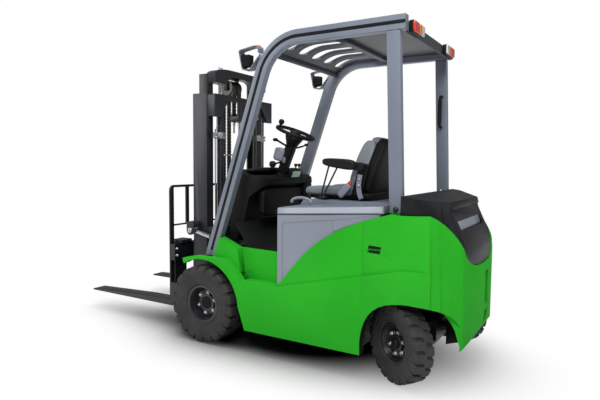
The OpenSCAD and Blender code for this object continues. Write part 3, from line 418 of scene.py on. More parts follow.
def rubber(name, code, dust, rough, **sockets):
    """Vulcanised rubber: dust gathers in a wide noise, over a fine matt tooth."""
    material, tree, shader, place = finish_of(name, code, rough, IOR=1.52, **sockets)
    wide = {"Scale": 9.0, "Detail": 8.0, "Roughness": 0.65}
    patch = add(tree, "ShaderNodeTexNoise", wide, {"Vector": place})
    tooth = add(tree, "ShaderNodeTexNoise", {"Scale": 260.0, "Detail": 2.0}, {"Vector": place})
    patterned(tree, shader, (patch.outputs["Fac"], code, dust), None, (tooth.outputs["Fac"], 0.25, 0.0006),
              near=0.42, far=0.78)
    return material


# dull mouldings throw back little light, so plastics and mats read as deep black beside the paint
DULL = {"Specular_IOR_Level": 0.2}
# moulded ABS, dark with a fine dull grain; the grain is drawn at 4 mm so that it shows
ABS = grained("moulded_black_abs", "#0d0d0e", "#0a0a0b", 0.5, 4, 0.35, **DULL)
# painted sheen: the rear cover and dash lid are given a greyer tone for the sky that large mouldings catch
SHEEN_COVER_ABS = grained("moulded_cover_abs_painted_sheen", "#1a1b1e", "#151618", 0.42, 4, 0.3, **DULL)
# seat vinyl: pebbled like leather, with cells of about 5 mm so that they show
VINYL = grained("pebbled_seat_vinyl", "#1a1b1d", "#141517", 0.46, 5, 0.5, **DULL)
VINYL_GREY = grained("pebbled_grey_vinyl", "#7d818b", "#72767f", 0.5, 5, 0.5)
# the battery's case is a plain mid grey under the hood
CASE = grained("battery_case_grey", "#3a3c40", "#333539", 0.5, 6, 0.3)
# tyres are a dusty brown black, mats and hoses a cleaner one
TYRE = rubber("tyre_rubber_compound", "#232325", "#3a3836", 0.72)
MAT = rubber("floor_mat_rubber", "#0f1011", "#17181a", 0.66, **DULL)
HOSE = rubber("hose_rubber", "#0e0e0f", "#161617", 0.55, **DULL)
print("mouldings", [m.name for m in (ABS, SHEEN_COVER_ABS, VINYL, VINYL_GREY, CASE, TYRE, MAT, HOSE)])

# %% [markdown]
# ## Bare metals and lenses
# Cylinder rods are hard-chromed and nearly mirror bright. Bolts are zinc plated, and chains are
# oiled steel. Lamp lenses are ribbed, and the display is a pattern of small cells under glass.

# %% Metal and lens finishes
def metal(name, code, other, rough, scratch_mm, stretch):
    """Bare metal: noise stretched along one axis for the marks of the tool, in tone and gloss."""
    material, tree, shader, place = finish_of(name, code, rough, 1.0)
    turn = add(tree, "ShaderNodeMapping", {"Scale": stretch}, {"Vector": place})
    noise = {"Scale": 1000 / scratch_mm, "Detail": 3.0}
    marks = add(tree, "ShaderNodeTexNoise", noise, {"Vector": turn.outputs["Vector"]}).outputs["Fac"]
    patterned(tree, shader, (marks, other, code), (marks, rough - 0.06, rough + 0.1))
    return material


# chrome throws back the studio, zinc is duller and oiled chain steel is a warm dark grey
CHROME = metal("hard_chrome", "#d9dce0", "#c9ccd1", 0.14, 6, (1, 1, 0.05))
ZINC = metal("zinc_plate", "#c3c5c8", "#a6a8ab", 0.32, 5, (1, 1, 1))
OILED = metal("oiled_chain_steel", "#6c6a66", "#4a4845", 0.38, 4, (1, 1, 0.4))


def lens(name, code, dark, rough):
    """A ribbed lamp lens: tinted plastic with a clear coat and a wave of fine prisms."""
    material, tree, shader, place = finish_of(name, code, rough, IOR=1.49, Coat_Weight=0.6)
    wave = {"Scale": 60.0, "bands_direction": "Y"}
    rib = add(tree, "ShaderNodeTexWave", wave, {"Vector": place}).outputs["Fac"]
    patterned(tree, shader, (rib, dark, code), None, (rib, 0.4, 0.001))
    return material


# the lenses' ribs break the light into stripes, which tells a lamp from a painted block
RED_LENS = lens("red_lamp_lens", "#e23a1e", "#b92412", 0.22)
AMBER_LENS = lens("amber_lamp_lens", "#f0801e", "#cf6412", 0.22)
CLEAR_LENS = lens("clear_lamp_lens", "#d3dae0", "#aab4bd", 0.14)


def lit_screen(name, code, bright, dim, gap):
    """A lit display: small bricks in two tones with dark gaps, under clear glass."""
    material, tree, shader, place = finish_of(name, code, 0.1, Coat_Weight=0.8)
    tones = {"Scale": 60.0, "Color1": linear(bright), "Color2": linear(dim), "Mortar": linear(gap)}
    cells = add(tree, "ShaderNodeTexBrick", tones, {"Vector": place})
    tree.links.new(cells.outputs["Color"], shader.inputs["Base Color"])
    return material


# the display gives the dark dash its one bright green spot
SCREEN = lit_screen("display_glass", "#26a35a", "#39c872", "#1f8a4c", "#0c2416")
print("metals and lenses", [m.name for m in (CHROME, ZINC, OILED, RED_LENS, AMBER_LENS, CLEAR_LENS, SCREEN)])

# %% [markdown]
# ## Which finish goes on which node
# Every CAD node that keeps its own shape gets its finish by its material slot.

# %% Finishes on the CAD nodes
SLOT_FINISH = {
    "green_paint": GREEN, "grey_paint": GREY, "black_paint": BLACK, "fork_steel": FORK,
    "black_plastic": ABS, "floor_rubber": MAT, "tyre_rubber": TYRE, "seat_vinyl": VINYL,
    "lamp_red": RED_LENS, "bright_steel": OILED, "chromed_rod": CHROME, "battery_case": CASE}
for node in NODES.values():
    for slot in node.material_slots:
        slot.material = SLOT_FINISH[slot.material.name.split(".")[0]]
print("nodes finished", len(NODES))

# %% [markdown]
# ## Stage
# The photograph has a white ground with a soft shadow under the truck. The floor is white and
# fades into a backdrop of plain white light away from the truck, so no horizon shows.
# Near the truck the floor's colour also carries painted shade from ambient occlusion.

# %% White floor
def white_ground():
    """Floor whose shader goes from lit white under the truck to plain white light further out, by the
    distance from the middle; camera, glossy and transmission rays see that white. Under the truck the
    lit colour carries painted shade: ambient occlusion, raised to a power, darkens it where parts stand
    close."""
    material = bpy.data.materials.new("white_studio_ground")
    material.use_nodes = True
    tree = material.node_tree
    tree.nodes.clear()
    place = add(tree, "ShaderNodeTexCoord").outputs["Object"]
    flat = add(tree, "ShaderNodeMapping", {"Scale": (0.52, 1.0, 1.0)}, {"Vector": place})
    reach = add(tree, "ShaderNodeVectorMath", {"operation": "LENGTH"}, {0: flat.outputs["Vector"]})
    fade = {"interpolation_type": "SMOOTHSTEP", "From Min": 0.45, "From Max": 1.15}
    far = add(tree, "ShaderNodeMapRange", fade, {"Value": reach.outputs["Value"]})
    path = add(tree, "ShaderNodeLightPath")
    seen = path.outputs["Is Camera Ray"]
    for ray in ("Is Glossy Ray", "Is Transmission Ray"):
        either = add(tree, "ShaderNodeMath", {"operation": "MAXIMUM"}, {0: seen, 1: path.outputs[ray]})
        seen = either.outputs[0]
    share = add(tree, "ShaderNodeMath", {"operation": "MULTIPLY"}, {0: far.outputs["Result"], 1: seen})
    # painted shade: ambient occlusion to the power 2.2 becomes the floor's colour, a contact shadow painted
    # under the truck
    near = add(tree, "ShaderNodeAmbientOcclusion", {"samples": 8, "Distance": 0.75})
    ao_painted_shade = add(tree, "ShaderNodeMath", {"operation": "POWER", 1: 2.2}, {0: near.outputs["AO"]})
    lit = add(tree, "ShaderNodeBsdfDiffuse", {}, {"Color": ao_painted_shade.outputs[0]})
    white = add(tree, "ShaderNodeEmission", {"Color": (1, 1, 1, 1), "Strength": 1.0})
    mix = add(tree, "ShaderNodeMixShader", {}, {0: share.outputs[0], 1: lit.outputs[0], 2: white.outputs[0]})
    add(tree, "ShaderNodeOutputMaterial", {}, {"Surface": mix.outputs[0]})
    return material


floor_mesh = bpy.data.meshes.new("studio_floor")
floor_mesh.from_pydata([(-14, -14, 0), (14, -14, 0), (14, 14, 0), (-14, 14, 0)], [], [(0, 1, 2, 3)])
floor_mesh.materials.append(white_ground())
studio_floor = bpy.data.objects.new("studio_floor", floor_mesh)
scene.collection.objects.link(studio_floor)
print("floor ready")

# %% [markdown]
# ## Light
# A studio lights a large object with wide, soft lamps: a key from the camera's side, one overhead
# and two weak ones that open the tail and the mast. The white surroundings fill the shadows.

# %% Surroundings and lamps
def white_world():
    """White all round: full strength where it is seen, and dimmer as the light on the truck."""
    world = bpy.data.worlds.new("studio")
    world.use_nodes = True
    tree = world.node_tree
    path = add(tree, "ShaderNodeLightPath")
    rays = {0: path.outputs["Is Camera Ray"], 1: path.outputs["Is Transmission Ray"]}
    seen = add(tree, "ShaderNodeMath", {"operation": "MAXIMUM"}, rays)
    level = add(tree, "ShaderNodeMapRange", {"To Min": 0.24, "To Max": 1.0}, {"Value": seen.outputs[0]})
    shell = tree.nodes["Background"]
    shell.inputs["Color"].default_value = (1, 1, 1, 1)
    tree.links.new(level.outputs["Result"], shell.inputs["Strength"])
    return world


def soft_lamp(name, place, target, size, power):
    """A square area lamp that faces a target."""
    data = bpy.data.lights.new(name, "AREA")
    data.size, data.energy = size, power
    lamp = bpy.data.objects.new(name, data)
    turn = (Vector(target) - Vector(place)).to_track_quat("-Z", "Y").to_matrix().to_4x4()
    lamp.matrix_world = Matrix.Translation(place) @ turn
    scene.collection.objects.link(lamp)


scene.world = white_world()
soft_lamp("key", (-2.4, 4.2, 5.0), (-0.6, 0, 0.8), 2.2, 215)
soft_lamp("top", (-0.4, 0.4, 5.2), (-0.4, 0, 0), 3.0, 150)
soft_lamp("rear", (-5.2, -0.5, 2.8), (-1.2, 0, 0.8), 2.6, 30)
soft_lamp("front", (4.2, 3.2, 2.6), (0.2, 0, 0.9), 2.4, 60)
scene.view_settings.view_transform = "Standard"

# %% [markdown]
# ## Softened bodywork
# The big castings and pressings get rounded edges: wide on the counterweight and covers, narrow
# on plate and channel. In the photograph the green sweep along the side is flatter than the CAD
# one, and the tail is rounder and leans forward, so those points are moved before the rounding.

# %% Flatter sweep and rounder tail
def bow(a, b, c, count):
    """Points of a quadratic curve from a to c that heads for b."""
    t = np.linspace(0, 1, count + 1)[:, None]
    return (1 - t) ** 2 * np.array(a) + 2 * t * (1 - t) * np.array(b) + t ** 2 * np.array(c)


SWEEP = np.concatenate([bow((-0.4085, 0.466), (-0.5375, 0.7), (-0.7075, 0.835), 6),
                        bow((-0.8025, 0.89), (-0.9525, 0.945), (-1.1345, 0.958), 8)])
EASED = np.concatenate([bow((-0.4085, 0.466), (-0.565, 0.655), (-0.634, 0.72), 6),
                        bow((-0.634, 0.72), (-0.81, 0.875), (-1.1345, 0.958), 8)])


def eased_z(x):
    """Height of the flatter sweep at a place along the truck."""
    return np.interp(-np.asarray(x), -EASED[:, 0], EASED[:, 1])


def ease_sweep(points, top=0.9575):
    """Points on the CAD sweep's edge move straight down to the flatter one; points above the top
    height stay."""
    x, z = points[:, 0], points[:, 2]
    edge = np.interp(-x, -SWEEP[:, 0], SWEEP[:, 1])
    on = (np.abs(z - edge) < 0.004) & (z < top) & (np.abs(points[:, 1]) > 0.3)
    on &= (x < -0.415) & (x > -1.133)
    out = points.copy()
    out[on, 2] = eased_z(x[on])
    return out


def tuck(points):
    """Rounds the tail in plan by a square in the distance behind the wheel, and narrows, leans and
    lowers its upper part by smooth steps in height and in the distance behind the posts."""
    x, z = points[..., 0], points[..., 2]
    share = smooth_step((z - 0.7) / 0.36) * smooth_step((-1.22 - x) / 0.26)
    corner = np.clip((-1.36 - x) / 0.16, 0, 1) ** 2
    out = points.copy()
    out[..., 0] += 0.06 * share
    out[..., 1] *= (1 - 0.2 * share) * (1 - 0.15 * corner)
    out[..., 2] -= 0.024 * smooth_step((z - 0.97) / 0.06) * smooth_step((-1.14 - x) / 0.22)
    return out


print("sweep eased by up to", round(float(np.max(SWEEP[:, 1] - eased_z(SWEEP[:, 0]))), 3), "m")

# %% Softened nodes
SOFT = {
    "chassis_frame": ("chassis", GREEN, 0.013), "counterweight": ("chassis", GREEN, 0.022),
    "rear_cover": ("chassis", SHEEN_COVER_ABS, 0.016), "hood": ("hood", GREY, 0.009),
    "side_doors": ("chassis", HOOD_GREY, 0.006), "guard_pillars": ("chassis", GREY, 0.007),
    "guard_posts": ("chassis", GREY, 0.009),
    "cowl": ("chassis", ABS, 0.014), "floor_plate": ("chassis", MAT, 0.003),
    "outer_mast": ("mast_outer", BLACK, 0.004), "inner_mast": ("mast_inner", BLACK, 0.004),
    "carriage": ("carriage", BLACK, 0.005), "load_backrest": ("carriage", BLACK, 0.003),
    "fork_left": ("carriage", FORK, 0.006), "fork_right": ("carriage", FORK, 0.006),
    "battery": ("chassis", CASE, 0.006)}
TAIL = {"angle": 52, "cuts": np.arange(-1.22, -1.52, -0.03)}
EXTRA = {
    # painted shade: the inner finish BLACK darkens the inside of the rear wheel arch, which lies in shadow
    "chassis_frame": {"move": ease_sweep, "inner": BLACK, "split": True},
    "counterweight": {"move": lambda p: tuck(ease_sweep(p)), "inner": BLACK, **TAIL},
    "rear_cover": {"move": tuck, **TAIL},
    "side_doors": {"move": lambda p: ease_sweep(p, 0.906)},
    "load_backrest": {"split": True}}
for name, (body, paint, width) in SOFT.items():
    softened(name, body, paint, width, **EXTRA.get(name, {}))
print("softened", len(SOFT))

# %% [markdown]
# ## Side covers' tips and the rear wheel house
# The flatter sweep leaves a narrow gap below the hood, and the long tip of each grey side cover
# fills it: a thin grid between two lines, with its thickness from a Solidify. A black wall closes
# the rear wheels' room towards the battery; it is painted shade, dark bars that stand for the shadow there.

# %% Tips and wall
COVER_Y, COVER_TOP, COVER_FRONT, HOOD_RISE = 0.535, 0.915, -0.4045, 0.0598
way, rise = np.meshgrid(np.linspace(-0.79, -1.085, 25), np.linspace(0, 1, 6), indexing="ij")
tip_low = eased_z(way) - 0.006
tip_high = np.maximum(COVER_TOP + HOOD_RISE * (COVER_FRONT - way), tip_low + 0.001)
for tag, s in SIDES:
    tip = np.stack([way, np.full_like(way, s * COVER_Y), tip_low + rise * (tip_high - tip_low)], -1)
    panel = surface(f"side_door_tip_{tag}", tip, HOOD_GREY)
    depth = panel.modifiers.new("panel thickness", "SOLIDIFY")
    depth.thickness, depth.offset = 0.004, 0.0
# painted shade: two black bars across the truck darken the rear wheels' room, standing for its shadow
WALL_X, WALL_HALF = -0.945, 0.47
shade_wall = [swept([(WALL_X, -WALL_HALF, z), (WALL_X, WALL_HALF, z)], box_section(0.008, 0.13, 0.003))
        for z in (0.22, 0.35)]
surface("rear_wheel_house_wall", shade_wall, BLACK, smooth=False)
print("tips and wall ready")

# %% [markdown]
# ## Tyres
# Solid industrial tyres have deep lugs that run in from both shoulders, set half a pitch apart so
# that the truck rolls evenly. The tyre is one grid: one parameter goes round, the other across
# from bead to bead. The rows that go round are bent along the grooves, so each groove's edge
# falls on a line of points and stays crisp.

# %% Lugged tyre
def lugged_tyre(end, tag, centre, axis, d, rim_d, w, depth, lugs=20):
    """Profile from bead to bead, carried round the axle. A groove lowers the tread by its depth
    where the place within a lug's pitch is near 0; the two halves are shifted by a quarter pitch
    either way, and the shift swings over smoothly at the middle of the tread."""
    r, h, bead = d / 2, w / 2, rim_d / 2
    mid = 0.5 * (bead + r)
    side = np.array([
        (bead + 0.001, 0.36), (bead + 0.012, 0.365), (bead + 0.016, 0.41), (bead + 0.022, 0.425),
        (bead + 0.027, 0.418), (bead + 0.034, 0.43), (mid - 0.008, 0.468), (mid, 0.478), (mid + 0.006, 0.474),
        (r - 0.052, 0.492), (r - 0.047, 0.5), (r - 0.04, 0.5), (r - 0.03, 0.497), (r - 0.022, 0.492),
        (r - 0.014, 0.482), (r - 0.007, 0.465), (r - 0.003, 0.44), (r - 0.001, 0.4)]) * [1, -w]
    across = np.linspace(-0.34, 0.34, 19) * w
    crown = np.stack([r - 0.004 * (across / h) ** 2, across], -1)
    profile = np.concatenate([side, crown, side[::-1] * [1, -1]])
    s = profile[:, 1] / h
    swing = 0.25 * np.tanh(s / 0.16) + 0.1 * np.clip(np.abs(s) - 0.2, 0, 1) * np.sign(s)
    part = np.array([0, .05, .10, .125, .15, .18, .30, .42, .5, .58, .70, .82, .85, .875, .90, .95])
    place = (np.arange(lugs)[:, None] + part[None]).ravel()
    near = np.minimum(part, 1 - part)
    half = 0.15 - 0.03 * (1 - np.abs(s))
    cut = smooth_step(1 - np.clip((near[:, None] - half[None] + 0.04) / 0.06, 0, 1))
    inward = np.clip((np.abs(s) - 0.1) / 0.06, 0, 1)
    down = np.clip((profile[:, 0] - (r - 0.052)) / 0.022, 0, 1)
    cut = np.tile(cut * inward * down, (lugs, 1))
    turn = TAU * (place[:, None] + swing[None]) / lugs
    radius = profile[None, :, 0] - depth * cut * np.clip((profile[None, :, 0] - (r - 0.04)) / 0.02, 0, 1)
    along = profile[None, :, 1] * (1 - 0.07 * cut * (np.abs(s)[None] > 0.9))
    u, v, a = frame_of(axis)
    spin = np.cos(turn)[..., None] * u + np.sin(turn)[..., None] * v
    grid = radius[..., None] * spin + along[..., None] * a
    grid = np.concatenate([grid, grid[:, :1]], 1) + np.asarray(centre)
    tyre = surface(f"{end}_tyre_{tag}_lugged", grid, TYRE, f"{end}_{tag}_wheel", wrap_rows=True)
    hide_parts(f"{end}_tyre_{tag}")
    tyre.data.set_sharp_from_angle(angle=math.radians(40))


STEER = np.array([0.544639, 0.838671, 0.0])
FRONT = {tag: np.array([0.1975, s * 0.478, 0.266]) for tag, s in SIDES}
REAR = {tag: np.array([-1.2325, s * 0.368, 0.226]) + s * 0.09 * STEER for tag, s in SIDES}
FRONT_RIM_D, FRONT_W, REAR_RIM_D, REAR_W = 0.24, 0.196, 0.212, 0.13
for tag, s in SIDES:
    lugged_tyre("front", tag, FRONT[tag], (0, 1, 0), 0.532, FRONT_RIM_D, FRONT_W, 0.015)
    lugged_tyre("rear", tag, REAR[tag], STEER, 0.452, REAR_RIM_D, REAR_W, 0.013)

# %% [markdown]
# ## Rims and wheel nuts
# The rims are pressed steel: a rolled outer lip, a deep dish and a flat disc with bright nuts on
# their studs round a dark hub. Each rim is one turned profile; the nuts are turned with six
# sides, which makes hexagons, and stand on round washers.

# %% Rims, nuts and hubs
def nut(centre, axis, across, height):
    """A washer, a six-sided nut with a chamfered top, and the end of its stud, with each profile
    in shares of the nut's width and height."""
    shares = {20: [(0, 0), (0.66, 0), (0.66, 0.16), (0, 0.16)],
              6: [(0, 0.1), (0.56, 0.1), (0.56, 0.8), (0.48, 1), (0, 1)],
              14: [(0, 0.9), (0.28, 0.9), (0.28, 1.35), (0.2, 1.5), (0, 1.5)]}
    return [turned(np.array(p) * [across, height], centre, axis, sides) for sides, p in shares.items()]


def circle_of(count, radius, centre, axis, start=0.0):
    """Points evenly round an axis."""
    u, v = frame_of(axis)[:2]
    a = start + TAU * np.arange(count) / count
    return np.asarray(centre) + radius * (np.cos(a)[:, None] * u + np.sin(a)[:, None] * v)


def pressed_rim(end, tag, centre, out, rim_d, w, hub, nuts_r):
    """Rim profile as (radius, place along the axle): hub boss and disc from behind, the lips with
    the well between them, the dish, and the disc with a raised ring for the nuts."""
    r, e = rim_d / 2, 0.36 * w
    behind = [(hub, -0.025), (hub + 0.022, -0.025), (hub + 0.024, -0.012), (r - 0.016, -0.012),
              (r - 0.012, -e - 0.004)]
    lips = [(r + 0.011, -e - 0.006), (r + 0.012, -e - 0.001), (r - 0.001, -e), (r - 0.001, e),
            (r + 0.012, e + 0.001), (r + 0.013, e + 0.004), (r + 0.01, e + 0.006), (r + 0.002, e + 0.0055)]
    dish = [(r - 0.006, e + 0.002), (r - 0.011, e - 0.01), (r - 0.013, 0.03), (r - 0.02, 0.014)]
    disc = [(nuts_r + 0.03, 0.009), (nuts_r + 0.024, 0.013), (nuts_r - 0.02, 0.013),
            (nuts_r - 0.026, 0.009), (hub + 0.026, 0.01), (hub + 0.022, 0.028), (hub, 0.03)]
    profile = behind + lips + dish + disc
    name, body = f"{end}_rim_{tag}_pressed", f"{end}_{tag}_wheel"
    rim = surface(name, turned(profile + profile[:1], centre, out, 72), RIM, body)
    rim.data.set_sharp_from_angle(angle=math.radians(35))
    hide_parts(f"{end}_rim_{tag}")
    spots = circle_of(6, nuts_r, centre + 0.0125 * out, out, 0.35)
    surface(name + "_nuts", [g for c in spots for g in nut(c, out, 0.027, 0.017)], ZINC, body, smooth=False)


RIMS = {"front": (FRONT_RIM_D, FRONT_W, 0.0402, 0.073), "rear": (REAR_RIM_D, REAR_W, 0.0262, 0.064)}
CAPS = {"front": [(0, 0.036), (0.03, 0.035), (0.04, 0.031), (0.043, 0.0295), (0.0, 0.0295)],
        "rear": [(0, 0.05), (0.016, 0.049), (0.026, 0.044), (0.03, 0.034), (0.031, 0.0285), (0.0, 0.0285)]}
for tag, s in SIDES:
    for end, centre, out in (("front", FRONT[tag], np.array([0, s, 0])), ("rear", REAR[tag], s * STEER)):
        pressed_rim(end, tag, centre, out, *RIMS[end])
        cap = turned(CAPS[end], centre + 0.002 * out, out, 36)
        surface(f"{end}_hub_cap_{tag}", cap, ABS, f"{end}_{tag}_wheel")
print("wheels dressed")

# %% [markdown]
# ## Lift chains
# The carriage hangs on two leaf chains: link plates side by side on pins, which run from the outer
# mast over a sheave on the inner mast and down to the carriage. Each strip of plates is a band
# whose height swells and shrinks with a cosine, half a pitch apart from its neighbours. The two
# straight runs change length as the mast lifts; here they are built in place, at rest, on no body.

# %% Leaf chains
def leaf_chain(name, path, width, body=None, pitch=0.0254, plates=5):
    """Bands along a path in the x-z plane: a band's half height is 4.6 mm plus 1.3 mm times the
    cosine of the way along over the pitch; pins cross all the bands every half pitch."""
    d = np.gradient(path, axis=0)
    d /= np.linalg.norm(d, axis=1)[:, None]
    side = np.array([0, 1.0, 0])
    out = np.cross(side, d)
    s = np.concatenate([[0], np.cumsum(np.linalg.norm(np.diff(path, axis=0), axis=1))])
    corners = ((-1, -1), (1, -1), (1, 1), (-1, 1), (-1, -1))
    grids = []
    for k in range(plates):
        h = 0.0046 + 0.0013 * np.cos(TAU * (s / pitch + 0.5 * (k % 2)))
        c, t = (k - (plates - 1) / 2) * width / plates, 0.4 * width / plates
        ring = np.stack([path + (c + t * a) * side + (b * h)[:, None] * out for a, b in corners], 1)
        ends = [np.repeat(path[i][None, None] + c * side, len(corners), 1) for i in (0, -1)]
        grids.append(np.concatenate([ends[0], ring, ends[1]]))
    half = width / 2 + 0.001
    pin = [(0, -half), (0.0026, -half), (0.0026, half), (0, half)]
    for at in np.arange(pitch / 2, s[-1], pitch / 2):
        centre = [np.interp(at, s, path[:, k]) for k in range(3)]
        grids.append(turned(pin, centre, (0, 1, 0), 8))
    return surface(name, grids, OILED, body, smooth=False)


SHEAVE_X, SHEAVE_Z, SHEAVE_R = 0.3815, 1.806, 0.0503
REAR_RUN, FRONT_RUN = SHEAVE_X - SHEAVE_R, SHEAVE_X + SHEAVE_R
ANCHOR_Z, CARRIAGE_Z = 1.585, 0.306
CHAIN_Y, CHAIN_W, CHAIN_HOLD = 0.032, 0.044, 0.012
RUNS = (("rear", REAR_RUN, ANCHOR_Z, SHEAVE_Z, 72, "mast_outer", "mast_inner"),
        ("front", FRONT_RUN, SHEAVE_Z, CARRIAGE_Z, 480, "mast_inner", "carriage"))
for tag, s in SIDES:
    y = s * CHAIN_Y
    for run, x, first, last, count, first_body, last_body in RUNS:
        chain = leaf_chain(f"chain_{run}_{tag}", np.linspace((x, y, first), (x, y, last), count), CHAIN_W)
        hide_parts(f"chain_{run}")
        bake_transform(chain)
    a = np.linspace(math.pi, 0, 49)
    arc = at_y(y, np.stack([SHEAVE_X + SHEAVE_R * np.cos(a), SHEAVE_Z + SHEAVE_R * np.sin(a)], -1))
    leaf_chain(f"chain_over_sheave_{tag}", arc, CHAIN_W, "mast_inner")

# %% [markdown]
# ## Chain anchors
# Each chain ends in a clevis with a threaded rod, so that a fitter can set its length. Rods and
# nuts are turned, and a thread is a profile whose radius goes up and down.

# %% Chain anchors
def threaded(start, axis, r, length, turns):
    """A rod whose radius falls by 12 % and rises again, once for each turn of its thread."""
    h = np.linspace(0, length, 4 * turns + 1)
    wave = r * (1 - 0.12 * (np.arange(4 * turns + 1) % 4 >= 2))
    return turned(np.concatenate([[(0, 0)], np.stack([wave, h], -1), [(0, length)]]), start, axis, 14)


ANCHORS = (("mast_outer", REAR_RUN, ANCHOR_Z, 0.115), ("carriage", FRONT_RUN, CARRIAGE_Z, 0.1))
for body, x, z, length in ANCHORS:
    clevises, rods = [], []
    for s in BOTH:
        y = s * CHAIN_Y
        clevises.append(pillow((x, y, z + 0.01), (0.02, 0.05, 0.03), 7, 14))
        rods.append(threaded((x, y, z - 0.01), (0, 0, -1), 0.0075, length, 34))
        for drop in (0.041, 0.056):
            rods += nut((x, y, z - drop), (0, 0, -1), 0.024, 0.011)[:2]
    surface(f"chain_clevis_{body}", clevises, BLACK, body)
    surface(f"chain_anchor_{body}", rods, ZINC, body, smooth=False)
print("anchors", [body for body, *_ in ANCHORS])

# %% [markdown]
# ## Lift pipes and clamps
# Steel pipes bring oil to the lift cylinders, and a bent plate holds each cylinder to its channel.
# Pipes and plates are sections carried along a smooth line through a few points.

# %% Mast fittings
def tube(points, r, count, up=(0, 0, 1), sides=12):
    """A round section carried along a smooth curve through the points."""
    return swept(smooth_path(points, count), ring_section(r, sides), up)


LIFT_PIPE = [(0.2905, 0.278, 0.18), (0.2905, 0.278, 0.6), (0.2905, 0.278, 1.2), (0.2905, 0.278, 1.56),
             (0.2905, 0.276, 1.606), (0.2915, 0.266, 1.624), (0.2925, 0.252, 1.63)]
RETURN_PIPE = [(0.303, 0.286, 0.18), (0.303, 0.286, 0.7), (0.303, 0.286, 1.4), (0.303, 0.284, 1.46),
               (0.3, 0.272, 1.49), (0.296, 0.256, 1.5)]
CROSS_PIPE = [(0.288, -0.262, 1.6), (0.274, -0.215, 1.592), (0.268, -0.16, 1.565), (0.268, -0.128, 1.528),
              (0.268, -0.106, 1.478), (0.268, -0.08, 1.42), (0.268, -0.052, 1.35), (0.268, -0.034, 1.313),
              (0.268, -0.005, 1.299), (0.268, 0.06, 1.295), (0.268, 0.15, 1.292), (0.27, 0.205, 1.29),
              (0.282, 0.222, 1.289)]
STRAP_Z = 1.432
STRAP = [(0.296, 0.32, STRAP_Z), (0.284, 0.312, STRAP_Z), (0.2825, 0.29, STRAP_Z), (0.276, 0.268, STRAP_Z),
         (0.2668, 0.251, STRAP_Z), (0.2655, 0.236, STRAP_Z), (0.271, 0.217, STRAP_Z), (0.286, 0.209, STRAP_Z)]
pipes, straps, bolts = [], [], []
for s in BOTH:
    pipes.append(tube(mirrored(LIFT_PIPE, s), 0.0055, 90, (1, 0, 0)))
    pipes.append(tube(mirrored(RETURN_PIPE, s), 0.0045, 80, (1, 0, 0)))
    straps.append(swept(smooth_path(mirrored(STRAP, s), 40), box_section(0.004, 0.046, 0.0015)))
    for z in (STRAP_Z - 0.012, STRAP_Z + 0.012):
        bolts += nut((0.281, 0.301 * s, z), (-1, 0, 0), 0.015, 0.008)
    bolts += nut((0.2925, 0.262 * s, 1.63), (0, s, 0), 0.02, 0.014)[1:2]
pipes.append(tube(CROSS_PIPE, 0.0055, 120, (1, 0, 0)))
surface("lift_pipes", pipes, ZINC, "mast_outer")
surface("cylinder_straps", straps, ZINC, "mast_outer")
surface("strap_bolts", bolts, ZINC, "mast_outer", smooth=False)

ROD_X, ROD_Y = 0.2935, 0.238
tops = [g for s in BOTH for g in nut((ROD_X, s * ROD_Y, 1.9045), (0, 0, 1), 0.034, 0.016)]
surface("crosshead_bolts", tops, ZINC, "mast_inner", smooth=False)
collar = [(0.0155, 0.0), (0.0335, 0.0), (0.0335, 0.012), (0.03, 0.016), (0.0165, 0.017)]
collars = [turned(collar, (ROD_X, s * ROD_Y, 1.6575), (0, 0, 1), 40) for s in BOTH]
surface("rod_wiper_rings", collars, BLACK, "mast_outer")
print("mast fittings ready")

# %% [markdown]
# ## Carriage bolts and tilt pins
# The load backrest is bolted to the carriage from behind, and the tilt cylinders swing on pins
# with bright heads.

# %% Carriage and tilt hardware
spots = [(0.5557, s * 0.425, z) for s in BOTH for z in (0.262, 0.31, 0.548, 0.598)]
heads = [g for spot in spots for g in nut(spot, (-1, 0, 0), 0.02, 0.011)]
surface("backrest_bolts", heads, ZINC, "carriage", smooth=False)
pin_head = [(0, 0.012), (0.012, 0.0115), (0.019, 0.009), (0.021, 0.004), (0.021, -0.003), (0, -0.003)]
for body, x, y, z in (("mast_outer", 0.4205, 0.428, 0.745), ("chassis", -0.0082, 0.436, 0.646)):
    pins = [turned(pin_head, (x, s * y, z), (0, s, 0), 28) for s in BOTH]
    surface(f"tilt_pin_heads_{body}", pins, ZINC, body)
print("pins ready")

# %% [markdown]
# ## Guard: rubber strips, grab handle and bolts
# The front pillars and roof rails are one bent profile with a groove along its outer face, closed
# by a black rubber strip. The strip follows the rail's own line: a straight run, an arc and another
# straight run. The grab handle is a bent bar that swells where the hand holds it.

# %% Guard trim
BEND = np.array([-0.5075, 1.715])


def rail_line(y, r=0.289):
    """The rail's middle line at one side: a straight pillar that leans 19 degrees, an arc about
    the bend's middle, and a level run to the rear."""
    lean = math.radians(19)
    out = np.array([math.cos(lean), math.sin(lean)])
    down = np.array([math.sin(lean), -math.cos(lean)])
    pillar = BEND + r * out + np.linspace(1.24, 0, 40)[:, None] * down
    a = np.linspace(lean, math.pi / 2, 40)[1:]
    arc = BEND + r * np.stack([np.cos(a), np.sin(a)], -1)
    level = np.linspace((BEND[0], BEND[1] + r), (-1.184, BEND[1] + r), 30)[1:]
    return at_y(y, np.concatenate([pillar, arc, level]))


strips = [swept(rail_line(0.4815 * s), box_section(0.021, 0.0105, 0.003), (0, 1, 0)) for s in BOTH]
surface("rail_rubber_strips", strips, HOSE)

DOME = np.array([(0, 0.011), (0.007, 0.0105), (0.0125, 0.008), (0.0155, 0.0035), (0.0165, 0.0),
                 (0.0165, -0.002), (0, -0.002)])
outer = [turned(DOME, (-1.155, s * 0.485, 0.984), (0, s, 0), 26) for s in BOTH]
surface("post_bolts", outer, BLACK)
inner = [turned(DOME * 1.05, (-1.142, -0.441 * s, 1.044), (0, s, 0), 22) for s in BOTH]
surface("post_inner_bolts", inner, ZINC)

